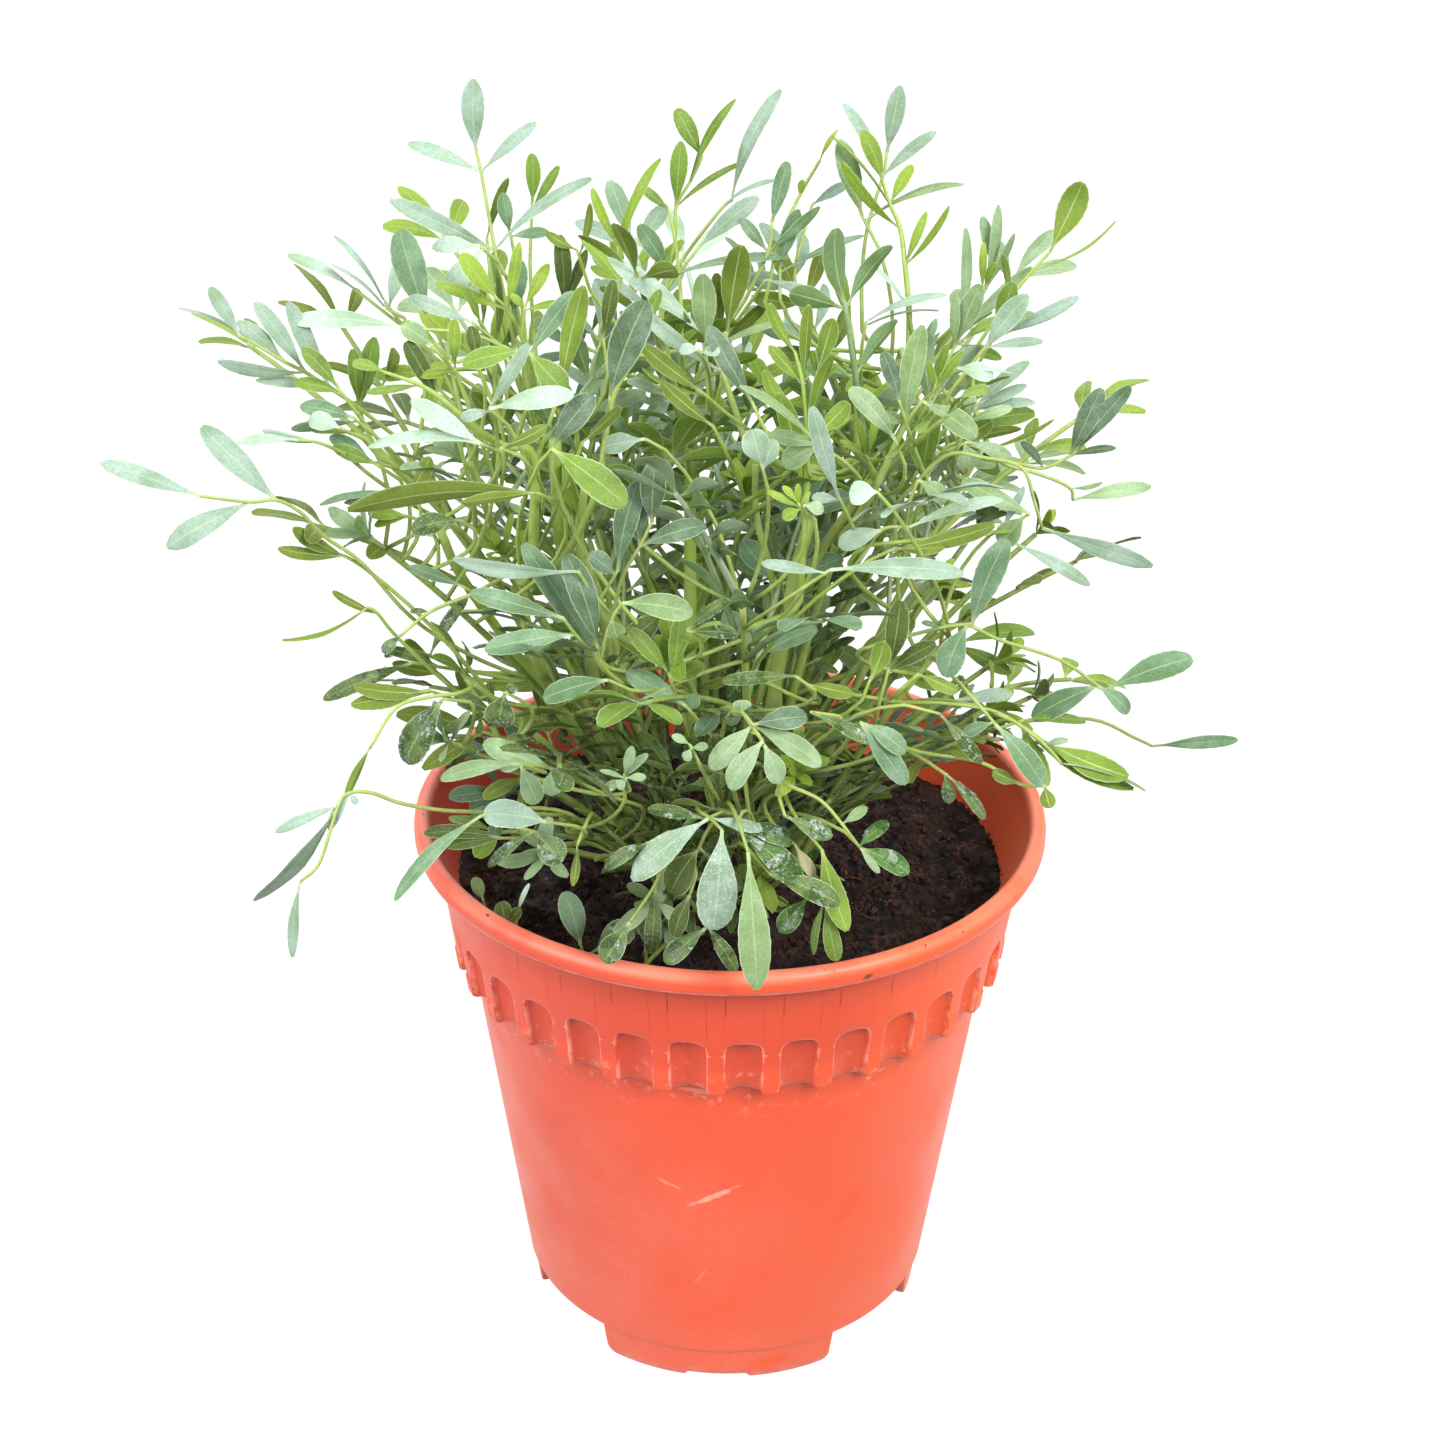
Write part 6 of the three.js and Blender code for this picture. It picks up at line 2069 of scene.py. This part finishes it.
def youngTip(spot, way, draw, size, count=7):
    # a tuft of small leaflets that opens at the end of a shoot
    blades = []
    lean = squared(np.array([0.2, -0.5, 0.8]), way)
    tone = "lime" if draw() < 0.5 else "mint"
    for i in range(count):
        turn = math.radians(plant["turnPerLeaf"] * i) + draw() * 0.5
        outward = turnedAbout(lean, way, turn)
        opening = math.radians(14 + 44 * (1 - i / count) + 8 * draw())
        heading = unit(way * math.cos(opening) + outward * math.sin(opening))
        long = size * (0.55 + 0.45 * (1 - i / count) + 0.15 * draw())
        blades.append(dressBlade(dict(start=spot, way=heading, normal=way - outward * 0.4, length=long,
                                      width=long * (0.3 + 0.1 * draw())), draw, tone))
    return blades


def lineThrough(spots, steps=5):
    # a smooth line through a few points
    spots = np.asarray(spots, float)
    if len(spots) == 1:
        return spots
    held = np.vstack([2 * spots[0] - spots[1], spots, 2 * spots[-1] - spots[-2]])
    line = [spots[0]]
    for a, b, c, d in zip(held, held[1:], held[2:], held[3:]):
        for k in range(1, steps + 1):
            t = k / steps
            line.append(0.5 * (2 * b + (c - a) * t + (2 * a - 5 * b + 4 * c - d) * t ** 2
                               + (3 * b - a - 3 * c + d) * t ** 3))
    return np.array(line)


def carrierOf(foot, axes, taken):
    # the stem or shoot point that a leaf's stalk can best grow from, clear of those that grow there
    best = None
    for number, line in axes:
        away = np.linalg.norm(line - foot, axis=1)
        away += 2.0 * np.maximum(0, line[:, 2] - foot[2] + 2)
        away += 0.6 * np.maximum(0, foot[1] - line[:, 1])
        if taken:
            near = np.linalg.norm(line[:, None] - np.array(taken)[None], axis=2) / bush["jointSpan"]
            away += bush["crowding"] * np.exp(-near ** 2).sum(axis=1)
        k = int(np.argmin(away))
        if best is None or away[k] < best[0]:
            best = (away[k], number, line[k])
    return best[1], best[2]


seenRule = {
    "stalkEnd": 0.34,  # the thickest that a leaf's stalk ends
    "bareEnd": 0.75,  # a bare stem's end, of its foot
    "leastWidth": 0.19,  # of a leaflet's length; a narrower one is turned to the side
    "pairSpacing": 0.15,
    "hang": 0.05,  # mm forward for each pixel that a tip hangs down
    "upward": 0.45,
    "sidewaysShare": 0.9,
    "calm": {"twist": 0.3, "cup": 0.5, "curl": 0.6},
    "turnedTones": ("olive", "grass"),  # these show their undersides
    "limeStalks": ("lime", "olive", "grass", "green"),
}


def seenLeaf(row, axes, draw, taken):
    # one leaf as the photo shows it: its leaflets, its stalk and the stem that carries it
    at = np.array(row["at"], float)
    steps = np.concatenate([[0], np.cumsum(np.linalg.norm(np.diff(at, axis=0), axis=1))])
    depths = row["depth"][0] + (row["depth"][1] - row["depth"][0]) * steps / max(steps[-1], 1)
    spots = [seenPoint(x, y, depth) for (x, y), depth in zip(at, depths)]
    if row["of"]:
        number = [stem["name"] for stem in stems].index(row["of"][0])
        start = along(stemLine(stems[number]), stems[number]["leaves"][row["of"][1]]["on"])
    else:
        number, start = carrierOf(spots[0], axes, taken)
        taken.append(start)
    if row["rooted"]:
        start = spots[0] - [0, 0, 3]
    gap = np.linalg.norm(spots[0] - start)
    heading = unit(spots[1] - spots[0]) if len(spots) > 1 else unit(spots[0] - start)
    bend = (spots[0] + start) / 2 * 0.4 + (spots[0] - heading * gap * 0.5) * 0.6
    join = [along((start, bend, spots[0]), share) for share in np.linspace(0, 1, 7)[:-1]]
    line = np.vstack([join, lineThrough(spots)])
    thick = row["thick"]
    sizes = np.linspace(thick, min(seenRule["stalkEnd"], thick), len(line))
    if not row["tips"]:
        sizes = np.linspace(thick, thick * seenRule["bareEnd"], len(line))
    blades = []
    eye = np.array(view["place"], float)
    widths = row["widths"]
    for k, tip in enumerate(row["tips"]):
        if tip is None:
            continue
        joint = max(0, len(spots) - 1 - (k + 1) // 2)
        foot = spots[joint]
        if len(spots) == 2:
            joint = 1
            foot = spots[1] + (spots[0] - spots[1]) * seenRule["pairSpacing"] * ((k + 1) // 2)
        drop = max(0, tip[1] - at[joint][1])
        end = seenPoint(*tip, depths[joint] - seenRule["hang"] * drop + (draw() - 0.5) * 3)
        length = float(np.linalg.norm(end - foot))
        way = (end - foot) / length
        normal = squared(unit(eye - foot) * 0.8 + np.array([0, 0, seenRule["upward"]]), way)
        seenWidth = widths[min(k, len(widths) - 1)]
        width = max(seenWidth, seenRule["leastWidth"] * length)
        lean = math.acos(min(1, seenWidth / width)) * (1 if draw() < 0.5 else -1)
        normal = turnedAbout(normal, way, lean * seenRule["sidewaysShare"])
        if row["tone"] in seenRule["turnedTones"]:
            normal = -normal
        plain = dict(start=foot, way=way, normal=normal, length=length, width=width)
        blade = dressBlade(plain, draw, row["tone"])
        calmer = {key: blade[key] * share for key, share in seenRule["calm"].items()}
        blades.append({**blade, **calmer, "fine": True})
    stalkTone = "limeStem" if row["tone"] in seenRule["limeStalks"] else "stem"
    if not row["tips"]:
        return number, blades, dict(line=line, sizes=sizes, tone=row["tone"], sides=12, ribs=5)
    return number, blades, dict(line=line, sizes=sizes, tone=stalkTone, sides=8)


def growShoot(stem, line, draw):
    # a side shoot that leaves the main stem low down and rises beside it
    base = along(line, between(draw, bush["shootStart"]))
    tip = np.array(stem["tip"], float)
    for _ in range(20):
        turn = draw() * math.tau
        spread = bush["shootSpread"] * (0.6 + 0.6 * draw())
        end = tip + [math.cos(turn) * spread, math.sin(turn) * spread, -6 - 34 * draw()]
        if inBush(end):
            break
    bend = (base + end) / 2
    bend[:2] += (base - end)[:2] * plant["stemBow"] * 0.5
    return (base, bend, end)


def drawnSpray(line, on, draw, turn):
    # a leaf of a side shoot, or one more on a stem, drawn within the bush
    start = along(line, on)
    ahead = wayOf(line, on)
    lean = squared(np.array([0.3, -0.2, 0.05]), ahead)
    outward = turnedAbout(lean, ahead, turn)
    opening = math.radians(30 + 26 * draw())
    way = unit(ahead * math.cos(opening) + outward * math.sin(opening))
    length = between(draw, bush["leafLength"])
    pairs = 3 if draw() < 0.35 else 2
    blade = between(draw, bush["bladeLength"])
    return dict(on=on, tip=start + way * length, pairs=pairs, blade=blade,
                broad=between(draw, bush["bladeBroad"]), rise=0.04 + 0.1 * draw(), roll=(draw() - 0.5) * 80)


def growPlant():
    plans, placed = placeFrameLeaves()
    blades = [[] for _ in stems]
    stalks = [[] for _ in stems]
    seen = {row["of"] for row in seenLeaves if row["of"]}
    axes, shoots = [], []
    for number, stem in enumerate(stems):
        draw = seededDraw(bush["seeds"]["stem"] + number)
        line = stemLine(stem)
        shares = np.linspace(0, 1, 26)
        spots = [along(line, share) for share in shares]
        axes.append((number, np.array(spots)))
        spots.insert(0, np.array([*stem["root"], soil["top"] - 4.0]))
        sizes = [stemRadius(stem, share) * bush["stemSize"] for share in shares]
        sizes.insert(0, sizes[0])
        stalks[number].append(dict(line=spots, sizes=sizes, sides=15, ribs=5, tone="stem"))
        for leafNumber, plan in enumerate(plans[number]):
            if (stem["name"], leafNumber) in seen:
                continue
            leafBlades, leafStalks = dressPlan(plan, draw, drawnTone(draw, plan["curve"][2][2]))
            blades[number] += leafBlades
            stalks[number] += leafStalks
        draw = seededDraw(bush["seeds"]["shoots"] + number)
        shoots.append([])
        for _ in range(bush["sideShoots"]):
            shoot = growShoot(stem, line, draw)
            shoots[number].append(shoot)
            axes.append((number, np.array([along(shoot, share) for share in np.linspace(0.1, 0.96, 20)])))
            thick, thin = bush["shootRadius"], bush["shootEnd"]
            stalks[number].append(stalkAlong(shoot, 1, thick, thin, 18, sides=8, tone="green"))
            blades[number] += youngTip(along(shoot, 1), wayOf(shoot, 1), draw, between(draw, bush["tipSize"]))
    draw = seededDraw(bush["seeds"]["seen"])
    longest = 0
    taken = []
    for row in seenLeaves:
        number, leafBlades, stalk = seenLeaf(row, axes, draw, taken)
        blades[number] += leafBlades
        stalks[number].append(stalk)
        longest = max(longest, float(np.linalg.norm(stalk["line"][6] - stalk["line"][0])))
        balls = []
        for blade in leafBlades:
            balls += bladeBalls(*(blade[key] for key in ("start", "way", "normal", "length", "width")))
        balls += [(*spot, 0.8, 0) for spot in stalk["line"]]
        placed = np.vstack([placed, withStem(np.array(balls), number)])
    print(f"leaves read from the photo: {len(seenLeaves)}, longest join {longest:.0f} mm")
    counted = 0
    for number, stem in enumerate(stems):
        draw = seededDraw(bush["seeds"]["fill"] + number)
        line = stemLine(stem)
        carriers = [(line, *bush["leavesLow"]), (line, *bush["leavesOnStem"])]
        carriers += [(shoot, *bush["leavesOnShoot"]) for shoot in shoots[number]]
        for axis, leaves, low, high in carriers:
            first = draw() * math.tau
            for i in range(leaves):
                for attempt in range(bush["tries"]):
                    on = low + (high - low) * (i + draw()) / leaves
                    turn = first + math.radians(plant["turnPerLeaf"] * i)
                    turn += (draw() - 0.5) * (1 + attempt * 0.5)
                    leaf = drawnSpray(axis, on, draw, turn)
                    if not inBush(leaf["tip"]):
                        continue
                    plan = leafPlan(along(axis, on), leaf)
                    if not insideCrown(plan["balls"][:, :3]):
                        continue
                    if not isClear(plan["balls"], number, placed, bush["looseness"]):
                        continue
                    placed = np.vstack([placed, withStem(plan["balls"], number)])
                    plan = feathered(plan, draw, bush["featheredShare"])
                    leafBlades, leafStalks = dressPlan(plan, draw, drawnTone(draw, leaf["tip"][2]))
                    blades[number] += leafBlades
                    stalks[number] += leafStalks
                    counted += 1
                    break
    print(f"leaves drawn beside them: {counted}")
    return blades, stalks


def makeLeafyStems(finishes):
    blades, stalks = growPlant()
    pieces = []
    for number, stem in enumerate(stems):
        parts = []
        for kind in leaflet["steps"]:
            chosen = [blade for blade in blades[number] if bladeKind(blade) == kind]
            if chosen:
                parts.append(bladeMesh(chosen, kind))
        parts += [tubeMesh(stalk) for stalk in stalks[number]]
        piece = joinedPiece("leafyStem." + stem["name"], parts, finishes)
        scatterOver(piece, "waterDrops", dropTree(finishes[3]))
        pieces.append(piece)
    print("leaflets:", sum(len(rows) for rows in blades), "stalks:", sum(len(rows) for rows in stalks))
    return pieces


def bladeKind(blade):
    if blade.get("fine"):
        return "fine"
    return "plain" if blade["length"] > 9.5 else "small"


# The whole plant, put together
makeStudio()
makeCamera()
print("camera, floor and lights")
nurseryPot = makePot(makePlastic())
print("pot:", len(nurseryPot.data.polygons), "faces")
pottingSoil = makeSoil(*(makePeat(name) for name in peats))
print("soil:", len(pottingSoil.data.polygons), "faces")
leafFinishes = [makeLeafFace("leafUpperFace", "upper"), makeLeafFace("leafUnderFace", "under")]
leafFinishes += [makeStalkFinish(), makeWater()]
leafyStems = makeLeafyStems(leafFinishes)
total = 0
for piece in [nurseryPot, pottingSoil, *leafyStems]:
    piece.data.calc_loop_triangles()
    total += len(piece.data.loop_triangles)
print("triangles:", total)

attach(nurseryPot, "root")
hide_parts("pot")
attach(pottingSoil, "root")
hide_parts("soil")
for stem, piece in zip(stems, leafyStems):
    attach(piece, "root")
    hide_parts("leafy_stem_" + stem["name"])
